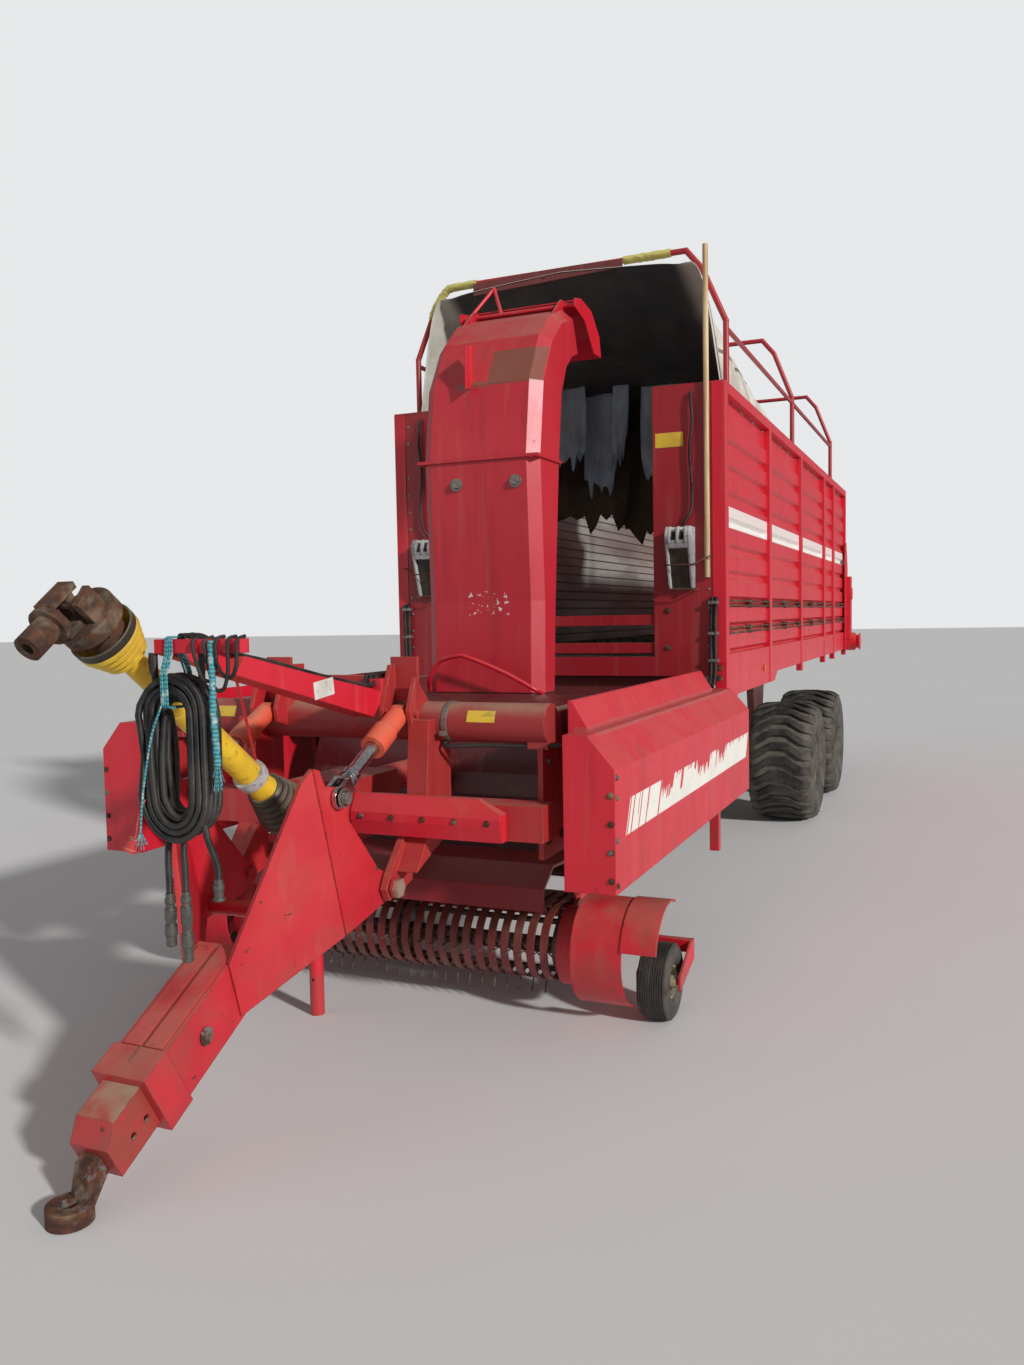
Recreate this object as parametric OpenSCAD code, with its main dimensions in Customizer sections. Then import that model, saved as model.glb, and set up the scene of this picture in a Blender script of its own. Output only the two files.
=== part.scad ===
// Self-loading forage harvester wagon with a pick-up, a chopper, a spout and a tarpaulin roof
// X points forward to the hitch, Y to the machine's left, Z up. The ground is at z = 0.
// Places along X are measured from the front wall of the load body, and at_front() moves them.

/* [Load body] */
// Length of the load body
body_l = 6050; // [5400:10:6400]
// Width over the side posts
body_w = 2060; // [2000:10:2300]
// Height of the load floor above the ground
floor_z = 1400; // [1360:5:1460]
// Height of the side walls above the load floor
wall_h = 1510; // [1300:10:1700]
// Thickness of the side walls with their ribs
wall_t = 45; // [40:1:60]
// How far the posts stand out from the ribs
post_proud = 20; // [10:1:25]
// Width of a post
post_w = 80; // [60:5:110]
// Distance from post to post
bay = 1427; // [1350:1:1450]
// Distance from rib to rib on the side walls
rib_pitch = 148; // [130:2:170]
// Depth of a rib
rib_d = 22; // [14:1:24]
// Height of the sill below the floor
sill_h = 230; // [200:5:240]
// Width of the opening in the front wall
front_gap = 1240; // [1100:10:1300]
// Thickness of the front panels
front_t = 40; // [30:1:50]
// Thickness of the load floor
floor_t = 30; // [20:1:40]
// Thickness of the tailgate
gate_t = 50; // [40:1:60]
// Gap between the tailgate and the rear frame
gate_gap = 15; // [10:1:25]

/* [Roof frame and tarpaulin] */
// Diameter of the roof hoops
hoop_d = 34; // [26:1:42]
// Height of the hoops above the walls
hoop_h = 800; // [700:10:860]
// Thickness of the tarpaulin as a solid
tarp_t = 10; // [8:1:14]
// Height of the standing pole
pole_l = 1800; // [1500:10:1900]
// Diameter of the standing pole
pole_d = 30; // [24:1:36]

/* [Road wheels] */
// Radius of a tyre over its lugs
tyre_r = 465; // [440:1:480]
// Width of a tyre
tyre_w = 500; // [440:5:520]
// Radius of a rim
rim_r = 216; // [200:1:230]
// Distance between the middles of the left and right tyres
track = 1870; // [1850:5:1960]
// Distance between the two axles
axle_gap = 1330; // [1250:10:1380]
// Distance of the front axle behind the front wall
axle_x = 2700; // [2500:10:2800]
// Side of an axle's square tube
axle_s = 100; // [80:2:110]

/* [Front frame] */
// Diameter of the front cross tube
cross_d = 150; // [120:2:150]
// Place of the cross tube ahead of the front wall
cross_x = 2260; // [2250:2:2264]
// Height of the cross tube
cross_z = 1250; // [1230:5:1270]
// Half the distance between the outer faces of the front rails
front_half = 870; // [860:5:880]
// Height of the lower cross beam's middle
beam_z = 905; // [895:5:920]
// Diameter of the parking stand
stand_d = 60; // [50:1:62]
// Length of the parking stand
stand_l = 900; // [850:10:930]
// Clearance of the parking stand in its sleeve
stand_fit = 2; // [1:0.5:3]

/* [Drawbar] */
// Diameter of the hole in the hitch eye
eye_bore = 50; // [40:1:60]
// Outer diameter of the hitch eye
eye_d = 130; // [120:1:150]
// Thickness of the hitch eye
eye_t = 50; // [40:1:60]
// Width of the inner drawbar tube
inner_w = 140; // [120:2:140]
// Height of the inner drawbar tube
inner_h = 160; // [140:2:160]
// Wall of the outer drawbar tube with its clearance
outer_wall = 20; // [16:1:24]
// Clearance between the drawbar tubes
tube_fit = 1; // [0.5:0.5:2]
// Slope of the drawbar when its eye lies on the ground
bar_slope = 29; // [28:0.5:30]
// Distance between the fork plates, middle to middle
fork_w = 600; // [590:5:610]
// Thickness of a fork plate
fork_t = 20; // [16:1:22]
// Diameter of the drawbar's hinge pins
hinge_d = 50; // [40:1:54]
// Clearance around hinge pins
pin_fit = 1.6; // [1:0.2:2.4]

/* [Lift cylinders] */
// Outer diameter of a barrel
barrel_d = 84; // [74:1:90]
// Diameter of a rod
rod_d = 54; // [46:1:56]
// Diameter of the pins at both ends
lift_pin_d = 30; // [26:1:34]
// Reach of a barrel from its pin to its gland
barrel_l = 232; // [225:1:238]

/* [Drive shaft] */
// Diameter of the outer guard tube
guard_d = 92; // [80:1:100]
// Diameter of the inner guard tube
guard_in_d = 76; // [66:1:78]
// Bore of the end yoke
yoke_bore = 35; // [34:0.5:46]
// Slope of the drive shaft as it hangs in its rest
shaft_slope = 38; // [37:0.5:39]

/* [Chopper and spout] */
// Width of the spout
spout_w = 640; // [600:10:680]
// Wall of the spout
spout_t = 8; // [6:1:12]
// Chamfer of the spout's front corners
spout_c = 55; // [40:5:70]
// Radius of the chopper's casing
chop_r = 390; // [360:5:400]
// Width of the chopper's casing
chop_w = 1420; // [1360:10:1440]

/* [Side guards] */
// Length of a side guard
guard_l = 2390; // [2340:5:2400]
// Distance of a side guard's outer face from the middle
guard_y = 1150; // [1140:5:1170]
// Width of a side guard
guard_w = 190; // [170:5:200]
// Sheet of a side guard
guard_t = 6; // [4:1:8]

/* [Pick-up] */
// Radius of the stripper bands
band_r = 150; // [140:1:158]
// Distance from band to band
band_pitch = 58; // [54:1:64]
// Width of a band
band_w = 34; // [28:1:38]
// Half the clear width between the pick-up's arms
arm_in = 752; // [740:1:756]
// Radius of the reel over its tine tips
reel_r = 205; // [190:1:210]
// Diameter of a tine
tine_d = 7; // [5:0.5:8]
// Number of tine bars
tine_bars = 5; // [4:1:6]
// Height of the reel's axis
reel_z = 285; // [280:1:300]
// Radius of a gauge wheel
gauge_r = 155; // [145:1:160]
// Width of a gauge wheel
gauge_w = 130; // [110:2:140]

/* [Hidden] */
$fn = 48;
e = 0.01;
red = [0.72, 0.07, 0.10];
dark_red = [0.42, 0.06, 0.08];
worn_red = [0.62, 0.20, 0.16];
steel = [0.6, 0.6, 0.6];
rust = [0.35, 0.22, 0.13];
yellow = [0.85, 0.65, 0.08];
black = [0.08, 0.08, 0.08];

// Places along X, from the front wall
nose_x = 3860;                       // tip of the drive shaft
rear_x = -body_l;                    // rear face of the load body
tail_x = rear_x - gate_gap - gate_t; // rear face of the tailgate
front_x = (-tail_x + 80 - nose_x) / 2;
rear_axle_x = -axle_x - axle_gap;
pivot_x = -axle_x - axle_gap / 2;
module at_front() translate([front_x, 0, 0]) children();

// Heights and half widths of the load body
wall_z = floor_z + wall_h;
half_w = body_w / 2;
rib_y = half_w - post_proud;
wall_y = rib_y - wall_t;
rail_s = 60;
rail_in = 560;
rail_w = 120;
rail_z = floor_z - floor_t;
rail_h = 200;
seat = 0.3; // gap where a piece rests against another

// Places of the front frame: the uprights' middle and both faces of an upright
frame_x = cross_x + 40;
up_in = fork_w / 2 + 45;
up_out = up_in + 85;
ear_y = fork_w / 2 - 70;
front_top = cross_z + 40;

// The drawbar's hinge, the cylinders' pins and the shaft's rear joint, in X and Z
hinge_p = [2530, 667];
lift_top = [frame_x + 65, 1290];
lift_eye = [2830, 1045];
lift_v = lift_eye - lift_top;
lift_len = norm(lift_v);
lift_tilt = atan2(-lift_v[1], lift_v[0]);
shaft_p = [2660, 940];
bar_p = [3652, 145];
stand_p = [frame_x - 110, -230];
swing_p = [1150, 700];
reel_x = 1800;
gauge_p = [1730, 1120];
bar_l = 720;
inner_l = 420;

// A sheet or block cut from an outline in X and Z, from y0 to y1
module across(points, y0, y1)
    translate([0, y1, 0]) rotate([90, 0, 0]) linear_extrude(y1 - y0) polygon(points);
// The same for an outline in Y and Z, from x0 to x1
module along(points, x0, x1)
    translate([x0, 0, 0]) rotate([90, 0, 90]) linear_extrude(x1 - x0) polygon(points);
// A block between two corners
module block(a, b) translate(a) cube(b - a);
// A round bar between two points
module rod(a, b, d) {
    v = b - a;
    translate(a) rotate([0, acos(v[2] / norm(v)), atan2(v[1], v[0])]) cylinder(h = norm(v), d = d);
}
// A pin or tube along Y at a place in X and Z
module pin_y(p, d, y0, y1)
    translate([p[0], y1, p[1]]) rotate([90, 0, 0]) cylinder(h = y1 - y0, d = d);
module both_sides() {
    children();
    mirror([0, 1, 0]) children();
}
// A sheet between an upper and a lower grid of points, both with rows along the path
module sheet(over, under) {
    n = len(over);
    m = len(over[0]);
    k = n * m;
    last = (n - 1) * m;
    polyhedron(
        points = concat([for (r = over) each r], [for (r = under) each r]),
        faces = concat(
            [for (i = [0:n - 2], j = [0:m - 2])
                [i * m + j, (i + 1) * m + j, (i + 1) * m + j + 1, i * m + j + 1]],
            [for (i = [0:n - 2], j = [0:m - 2])
                [k + i * m + j + 1, k + (i + 1) * m + j + 1, k + (i + 1) * m + j, k + i * m + j]],
            [for (i = [0:n - 2]) [k + i * m, k + (i + 1) * m, (i + 1) * m, i * m]],
            [for (i = [1:n - 1]) [i * m - 1, i * m + m - 1, k + i * m + m - 1, k + i * m - 1]],
            [for (j = [0:m - 2]) [j, j + 1, k + j + 1, k + j]],
            [for (j = [0:m - 2])
                [last + j + 1, last + j, k + last + j, k + last + j + 1]]));
}
// A pipe along corner points, with a slightly thicker knuckle at each inner corner
module jointed_pipe(p, d) {
    for (i = [0:len(p) - 2]) rod(p[i], p[i + 1], d);
    for (i = [1:len(p) - 2]) translate(p[i]) sphere(d = d + 2);
}
// A pipe with a wall through outer and inner rings, open at both ends
module duct(outer, inner) {
    n = len(outer);
    m = len(outer[0]);
    k = n * m;
    polyhedron(
        points = concat([for (r = outer) each r], [for (r = inner) each r]),
        faces = concat(
            [for (i = [0:n - 2], j = [0:m - 1])
                [i * m + j, (i + 1) * m + j, (i + 1) * m + (j + 1) % m, i * m + (j + 1) % m]],
            [for (i = [0:n - 2], j = [0:m - 1])
                [k + i * m + (j + 1) % m, k + (i + 1) * m + (j + 1) % m, k + (i + 1) * m + j,
                 k + i * m + j]],
            [for (j = [0:m - 1]) [j, (j + 1) % m, k + (j + 1) % m, k + j]],
            [for (j = [0:m - 1])
                [(n - 1) * m + (j + 1) % m, (n - 1) * m + j, k + (n - 1) * m + j,
                 k + (n - 1) * m + (j + 1) % m]]));
}

// Rails under the load body, the front rails and the front cross tube
module chassis() color(red) at_front() {
    under_x = -60;
    both_sides() {
        block([rear_x + 100, rail_in - rail_w / 2, rail_z - rail_h],
              [under_x, rail_in + rail_w / 2, rail_z]);
        block([under_x - e, front_half - 80, cross_z - 90], [frame_x, front_half, front_top]);
        // Hanger of the pick-up's swing pin
        difference() {
            across([[swing_p[0] - 70, swing_p[1] - 60], [swing_p[0] + 70, swing_p[1] - 60],
                    [swing_p[0] + 120, cross_z - 89], [swing_p[0] - 120, cross_z - 89]],
                   front_half - 40, front_half - 20);
            pin_y(swing_p, 40 + pin_fit, front_half - 50, front_half);
        }
    }
    for (x = [-60 - rail_w, pivot_x - 400, pivot_x + 400, rear_x + 100])
        block([x, -rail_in, rail_z - rail_h + 20], [x + rail_w, rail_in, rail_z - 20]);
    block([-60 - rail_w, -front_half, cross_z - 90], [-60, front_half, front_top]);
    pin_y([cross_x, cross_z], cross_d, -front_half, front_half);
}

// Uprights, lower cross beam, hinge brackets and the sleeve of the parking stand
module front_frame() color(worn_red) at_front() {
    bracket_y = fork_w / 2 + fork_t / 2 + 8;
    face_x = frame_x + 85;
    back_x = frame_x - 90;
    both_sides() {
        difference() {
            union() {
                // Slanted upright from the cross tube to the hinge bracket
                across([[back_x, beam_z - 70], [hinge_p[0] - 30, hinge_p[1] + 52], [beam_front, beam_z - 68],
                        [beam_front, beam_z + 70], [face_x, cross_z - 6], [face_x, cross_z + 15],
                        [back_x, cross_z + 15]], up_in, up_out);
                // Hinge bracket on the upright's inner face
                across([[frame_x + 80, hinge_p[1] - 5], [hinge_p[0] + 20, hinge_p[1] - 45],
                        [hinge_p[0] + 45, hinge_p[1]], [hinge_p[0] + 20, hinge_p[1] + 45],
                        [beam_front + 20, beam_z - 66], [frame_x + 60, beam_z - 66]], bracket_y, up_in + e);
                // Inner ear of the cylinder's upper pin, which reaches up to the hose arm
                across([[back_x, tie_low], [back_x, cross_z], [frame_x + 20, cross_z - 30],
                        lift_top + [32, -45], lift_top + [40, 10], lift_top + [20, 60],
                        [frame_x + 30, arm_top + 50], [back_x, arm_top + 50]], ear_y, ear_y + ear_t);
                // Pointed outer ear
                across([[back_x + 10, cross_z], [lift_top[0] + 20, cross_z - 10], lift_top + [40, 10],
                        lift_top + [10, 80], lift_top + [-16, 133], [cross_x - 25, cross_z + 60]],
                       up_in - e, up_in + ear_t);
                pin_y(lift_top, lift_pin_d, ear_y, up_in + ear_t + 12);
                // Plate across both ears
                block([frame_x - 10, ear_y, tie_low], [frame_x + 5, up_in + e, arm_top + 80]);
            }
            pin_y(hinge_p, hinge_d + pin_fit, 0, up_out + 100);
            pin_y([cross_x, cross_z], cross_d, 0, front_half);
        }
        // Half of the lower cross beam
        block([frame_x - 10, box_w, beam_z - 65], [beam_front, up_in + e, beam_z + 65]);
        block([frame_x - 10, up_out - e, beam_z - 65], [beam_front, front_half + 20, beam_z + 65]);
        // End plate under the front rail
        across([[frame_x - 320, cross_z - 90], [frame_x - 200, beam_z - 150],
                [frame_x + 5, beam_z - 150], [frame_x, cross_z - 90]], front_half - 40, front_half - 20);
    }
    // Tie between the inner ears
    block([back_x - 40, -ear_y - ear_t, tie_low], [back_x + e, ear_y + ear_t, tie_top]);
    // Sleeve of the parking stand
    difference() {
        union() {
            translate([stand_p[0], stand_p[1], 520]) cylinder(h = 330, d = stand_d + 24);
            block([stand_p[0], -up_in - 40, 620], [back_x + e, stand_p[1], 840]);
        }
        translate([stand_p[0], stand_p[1], 500]) cylinder(h = 400, d = stand_d + stand_fit);
    }
}
ear_t = 18;
tie_low = cross_z + 80;
tie_top = cross_z + 170;
beam_front = frame_x + 110;
box_w = 130;

// Bolted cover on the left half of the lower cross beam
module beam_cover() color(red) at_front() {
    x = beam_front;
    y1 = front_half - 120;
    difference() {
        across([[x, beam_z - 65], [x + 45, beam_z - 65], [x + 60, beam_z - 10], [x + 60, beam_z + 20],
                [x + 25, beam_z + 85], [x, beam_z + 85]], box_w + 5, y1);
        along([[y1 - 110, beam_z + 90], [y1 + 1, beam_z + 90], [y1 + 1, beam_z + 35]], x - 1, x + 70);
    }
}

module axles() color(black) at_front()
    for (x = [-axle_x, rear_axle_x]) {
        block([x - axle_s / 2, -rail_in - 40, tyre_r - axle_s / 2],
              [x + axle_s / 2, rail_in + 40, tyre_r + axle_s / 2]);
        pin_y([x, tyre_r], 70, -track / 2 - 60, track / 2 + 60);
    }

// Rocking beams that carry both axles, with their hangers
module bogies() color(dark_red) at_front() both_sides() {
    top = tyre_r + axle_s / 2;
    beam_top = top + 130;
    across([[rear_axle_x - 90, top], [-axle_x + 90, top], [-axle_x + 90, top + 50],
            [pivot_x + 160, beam_top], [pivot_x - 160, beam_top], [rear_axle_x - 90, top + 50]],
           rail_in - 40, rail_in + 40);
    across([[pivot_x - 150, beam_top - e], [pivot_x + 150, beam_top - e],
            [pivot_x + 280, rail_z - rail_h], [pivot_x - 280, rail_z - rail_h]],
           rail_in - 30, rail_in + 30);
}

// Casing of the chopping rotor with its intake
chop_p = [1060, 870];
tunnel_x = chop_p[0] + chop_r + 50;
tunnel_z = beam_z + 60;
module chopper_housing() color(dark_red) at_front() {
    w = chop_w / 2;
    mouth_x = 1530;
    neck_z = 1262;
    difference() {
        union() {
            pin_y(chop_p, 2 * chop_r, -w, w);
            across([[chop_p[0], chop_p[1] - chop_r], [mouth_x, chop_p[1] - chop_r + 15],
                    [mouth_x, chop_p[1] - 30], [chop_p[0] + 200, chop_p[1] + 250],
                    [chop_p[0], chop_p[1] + 200]], -w, w);
            across([[700, chop_p[1]], [1000, chop_p[1]], [980, neck_z], [805, neck_z]],
                   -spout_w / 2, spout_w / 2);
            // Boss of the input tunnel
            translate([chop_p[0] + 200, 0, tunnel_z]) rotate([0, 90, 0])
                cylinder(h = tunnel_x - chop_p[0] - 200, d = 150);
        }
        across([[chop_p[0] + 330, chop_p[1] - chop_r + 40], [mouth_x + 10, chop_p[1] - chop_r + 35],
                [mouth_x + 10, chop_p[1] - 50], [chop_p[0] + 330, chop_p[1] - 50]],
               30 - w, w - 30);
    }
    // Side carriers up to the front rails
    both_sides() for (x = [820, 1300])
        block([x, w - e, cross_z - 130], [x + 80, front_half - 80, cross_z + 10]);
}

// The spout's sections: front edge X, front edge Z, rear edge X, rear edge Z
spout_rows = [
    [985, 1262, 806, 1262],
    [970, 1720, 770, 1720],
    [1000, 2440, 690, 2440],
    [940, 2810, 635, 2790],
    [800, 3060, 560, 2935],
    [650, 3190, 470, 3010],
    [470, 3260, 380, 3045]];
// One ring of the spout, drawn in by t
function spout_ring(r, t) =
    let(f = [r[0], r[1]], b = [r[2], r[3]], u = (f - b) / norm(f - b),
        w = spout_w / 2 - t, q = f - u * t, p = b + u * t, s = q - u * spout_c,
        c = spout_c)
    [[p[0], -w, p[1]], [s[0], -w, s[1]], [q[0], -w + c, q[1]],
     [q[0], w - c, q[1]], [s[0], w, s[1]], [p[0], w, p[1]]];
module spout() color(red) at_front() {
    duct([for (r = spout_rows) spout_ring(r, 0)], [for (r = spout_rows) spout_ring(r, spout_t)]);
    // Ears of the deflector's bar
    both_sides() difference() {
        across([[600, 3206], [flap_p[0] + 30, flap_p[1] + 28], [flap_p[0] - 30, flap_p[1] + 28],
                [flap_p[0] - 30, flap_p[1] - 25], [480, 3252]], spout_w / 2 - 70, spout_w / 2 - 58);
        pin_y(flap_p, 24 + pin_fit, 0, spout_w);
    }
    // Hoop around the spout, sunk into half its wall
    half_t = spout_t / 2;
    difference() {
        block([680, -spout_w / 2 - 12, 2422], [1012, spout_w / 2 + 12, 2438]);
        across([[690 + half_t, 2400], [690 + half_t, 2460], [1000 - half_t, 2460], [1000 - half_t, 2400]],
               half_t - spout_w / 2, spout_w / 2 - half_t);
    }
}

// Deflector at the spout's end, turning on a bar across it
flap_p = [430, 3290];
module spout_flap() color(red) at_front() translate([flap_p[0], 0, flap_p[1]]) {
    w = spout_w / 2 + 12;
    across(concat([[-385, -200], [-360, -90], [-230, 20], [-60, 45]],
                  [[-60, 37], [-227, 12], [-353, -94], [-377, -200]]), -w, w);
    both_sides()
        across([[-385, -200], [-360, -90], [-230, 20], [-60, 45], [35, 25], [35, -20],
                [-120, -60], [-260, -200]], w - e, w + 8);
    pin_y([0, 0], 24, -w, w);
    // Lever in the shape of an A, its feet on both sides of the right ear
    for (y = [-300, -100]) rod([0, y, 0], [-130, -200, 190], 20);
}

// Closed guard over the side drives
module side_guard() {
    y0 = guard_y - guard_w;
    top = cross_z - 25;
    low = top - 555;
    outer = [[y0, low], [guard_y, low], [guard_y, top - 115], [guard_y - 100, top], [y0, top]];
    inner = [[y0 + guard_t, low - 1], [guard_y - guard_t, low - 1],
             [guard_y - guard_t, top - 115 - guard_t / 2], [guard_y - 100 - guard_t / 2, top - guard_t],
             [y0 + guard_t, top - guard_t]];
    difference() {
        along(outer, 0, guard_l);
        along(inner, guard_t, guard_l - guard_t);
    }
    // Slanted lip above the guard and its feet on the front rail
    along([[y0, top - 30], [y0 + 45, top - e], [y0 + 45, top + 10], [y0 - 15, top + 110],
           [y0 - 30, top + 110], [y0 - 30, top - 30]], 250, guard_l - 140);
    for (x = [300, 1100, 1900])
        block([x, front_half, cross_z - 60], [x + 80, y0 + e, cross_z - 35]);
}
module side_guard_left() color(red) at_front() {
    side_guard();
    // Short foot under the guard
    block([90, guard_y - guard_w, 340], [140, guard_y - guard_w + 50, cross_z - 555]);
}
module side_guard_right() color(red) at_front() mirror([0, 1, 0]) side_guard();

// Input gearbox with its tunnel, its stub and the fork of the shaft's rear joint
module gearbox() color(worn_red) at_front() {
    nose = frame_x + 180;
    block([frame_x - 200, -box_w, beam_z - 105], [nose, box_w, beam_z + 130]);
    translate([nose - e, 0, shaft_p[1]]) rotate([0, 90, 0]) cylinder(h = 60, d = 110);
    translate([nose + 59, 0, shaft_p[1]]) rotate([0, 90, 0]) cylinder(h = 50, d = 60);
    block([nose + 108, -ball_d / 2 - 18, shaft_p[1] - 28], [nose + 122, ball_d / 2 + 18, shaft_p[1] + 28]);
    both_sides() block([nose + 121, ball_d / 2 + 6, shaft_p[1] - 28],
                       [shaft_p[0] + 15, ball_d / 2 + 18, shaft_p[1] + 28]);
    translate([tunnel_x, 0, tunnel_z]) rotate([0, 90, 0])
        cylinder(h = frame_x - 199 - tunnel_x, d = 120);
}

// Channel that carries the hoses ahead of the frame, on the left cylinder's ear
arm_w = 90;
arm_tip = [3185, 1537];
arm_top = 1418;
bar_end = [3480, 1597];
module hose_arm() color(red) at_front() {
    across([[2437, 1279], [3236, 1482], arm_tip, [2826, 1461], [2353, 1367]], ear_y - arm_w, ear_y);
    block([frame_x - 45, ear_y - 50, arm_top - 70], [frame_x + 80, ear_y, arm_top]);
    // Bar to the holder of the hoses and the holder across it
    across([[3150, 1500], [3236, 1490], bar_end + [0, -40], bar_end, arm_tip + [0, 20]],
           ear_y - arm_w, ear_y - arm_w + 40);
    block([bar_end[0] - 40, ear_y - arm_w, bar_end[1] - 40], [bar_end[0], 440, bar_end[1]]);
    // Ring and stay that the drive shaft hangs in
    on_shaft_line() difference() {
        translate([0, 0, ring_s]) cylinder(h = 20, d = guard_d + 22);
        translate([0, 0, ring_s - 1]) cylinder(h = 22, d = guard_d + 2 * seat);
    }
    rod(shaft_at(ring_s + 10, guard_d / 2 + 7), [3200, 200, 1480], 10);
}
ring_s = 269;
// A place on the drive shaft's line, at distance s from its rear joint and r above it
function shaft_at(s, r) = [shaft_p[0] + s * cos(shaft_slope) - r * sin(shaft_slope), 0,
    shaft_p[1] + s * sin(shaft_slope) + r * cos(shaft_slope)];

// A piece laid on the drive shaft's line
module on_shaft_line() translate([shaft_p[0], 0, shaft_p[1]]) rotate([0, 90 - shaft_slope, 0]) children();
module on_shaft() at_front() on_shaft_line() children();
core_d = 42;
ball_d = 80;
joint_s = 1240;
module shaft_guard() color(yellow) on_shaft() difference() {
    union() {
        translate([0, 0, 30]) cylinder(h = 160, d1 = 200, d2 = 120);
        translate([0, 0, 189]) cylinder(h = 521, d = guard_d);
        translate([0, 0, 700]) cylinder(h = 290, d = guard_in_d);
        translate([0, 0, 985]) cylinder(h = 130, d1 = 110, d2 = 200);
    }
    translate([0, 0, -1]) cylinder(h = 1200, d = core_d + pin_fit);
    translate([0, 0, 220]) cylinder(h = 720, d = core_d + 14);
    translate([0, 0, 1015]) cylinder(h = 101, d1 = 118, d2 = 188);
    translate([0, 0, 29]) cylinder(h = 101, d1 = 188, d2 = 138);
}
// Drive shaft with its rear ball, its front joint and the drooping end yoke
module shaft_joint() color(rust) on_shaft() {
    sphere(d = ball_d);
    cylinder(h = joint_s - 60, d = core_d);
    translate([0, 0, 1090]) cylinder(h = 40, d = 130);
    translate([0, 0, joint_s - 95]) cylinder(h = 46, d = 190);
    both_sides() block([-35, 42, 1125], [35, 66, joint_s + 30]);
    pin_y([0, joint_s], 30, -66, 66);
    translate([0, 0, joint_s]) rotate([0, 76, 0]) {
        rotate([90, 0, 0]) cylinder(h = 60, d = 34, center = true);
        difference() {
            union() {
                for (s = [-1, 1]) block([s * 48 - 10, -28, -20], [s * 48 + 10, 28, 90]);
                translate([0, 0, 85]) cylinder(h = 25, d = 116);
                translate([0, 0, 109]) cylinder(h = 90, d = 78);
            }
            translate([0, 0, 80]) cylinder(h = 130, d = yoke_bore);
        }
        rotate([0, 90, 0]) cylinder(h = 100, d = 30, center = true);
    }
}

module load_floor() color(black) at_front() {
    block([rear_x + 80, -wall_y, floor_z - floor_t], [-front_t, wall_y, floor_z]);
    for (x = [rear_x + 200:360:-300])
        block([x, -wall_y + 40, floor_z - e], [x + 40, wall_y - 40, floor_z + 18]);
}

// A side wall: ribbed sheet, posts, top rail and sill
post_places = [post_w / 2, bay, 2 * bay, 3 * bay, body_l - 1050, body_l - post_w / 2];
module side_wall() {
    n = floor((wall_h - rail_s - 20) / rib_pitch);
    ribs = [for (i = [0:n - 1]) let(z = floor_z + 10 + i * rib_pitch)
        each [[rib_y - rib_d, z + 12], [rib_y, z + 30], [rib_y, z + rib_pitch - 30],
              [rib_y - rib_d, z + rib_pitch - 12]]];
    along(concat([[wall_y, floor_z], [rib_y - rib_d, floor_z]], ribs,
                 [[rib_y - rib_d, wall_z - rail_s + e], [wall_y, wall_z - rail_s + e]]),
          rear_x, 0);
    for (x = post_places)
        block([-x - post_w / 2, rib_y - rib_d - e, floor_z - sill_h],
              [-x + post_w / 2, half_w, wall_z - 40]);
    block([rear_x, wall_y, wall_z - rail_s], [0, half_w, wall_z]);
    across([[rear_x, floor_z - sill_h + 60], [-1700, floor_z - sill_h + 60],
            [-1590, floor_z - sill_h], [-350, floor_z - sill_h], [-200, floor_z - sill_h - 50],
            [0, floor_z - sill_h - 50], [0, floor_z + 10], [rear_x, floor_z + 10]],
           wall_y, half_w - 5);
}
module side_left() color(red) at_front() side_wall();
module side_right() color(red) at_front() mirror([0, 1, 0]) side_wall();

// Front panels on both sides of the opening, with the bars below it
module front_wall() color(dark_red) at_front() {
    both_sides() block([-front_t, front_gap / 2, floor_z], [0, wall_y, wall_z]);
    for (z = [floor_z + 20, floor_z + 180])
        block([-front_t - 20, -front_gap / 2 - 20, z], [-10, front_gap / 2 + 20, z + 60]);
    block([-front_t, -wall_y, front_top], [0, wall_y, floor_z + e]);
}

// Rear frame with the tailgate's hinge ears
gate_p = [rear_x - gate_gap - gate_t / 2, wall_z + 5];
module rear_frame() color(dark_red) at_front() {
    block([rear_x + 20, -wall_y, wall_z - 70], [rear_x + 80, wall_y, wall_z]);
    block([rear_x + 20, -wall_y, floor_z - 130], [rear_x + 79, wall_y, floor_z - 30]);
    both_sides() difference() {
        across([[rear_x + 50, wall_z - 40], [gate_p[0] - 30, wall_z - 40],
                [gate_p[0] - 30, gate_p[1] + 30], [rear_x + 50, gate_p[1] + 30]],
               wall_y - 60, wall_y - 40);
        pin_y(gate_p, 30 + pin_fit, wall_y - 70, wall_y);
    }
}
module tailgate() color(red) at_front() {
    x1 = rear_x - gate_gap;
    low = floor_z + 20;
    block([x1 - 12, -half_w + 40, low], [x1, half_w - 40, gate_p[1] - 60]);
    for (z = [low, low + 450, low + 900, gate_p[1] - 120])
        block([x1 - gate_t, -half_w + 40, z], [x1 - 11, half_w - 40, z + 60]);
    both_sides() {
        block([x1 - gate_t, half_w - 100, low], [x1 - 11, half_w - 40, gate_p[1] - 60]);
        block([x1 - gate_t, wall_y - 95, gate_p[1] - 70], [x1 - 5, wall_y - 70, gate_p[1] + 20]);
        pin_y(gate_p, 30, wall_y - 80, wall_y - 36);
    }
}

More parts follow.
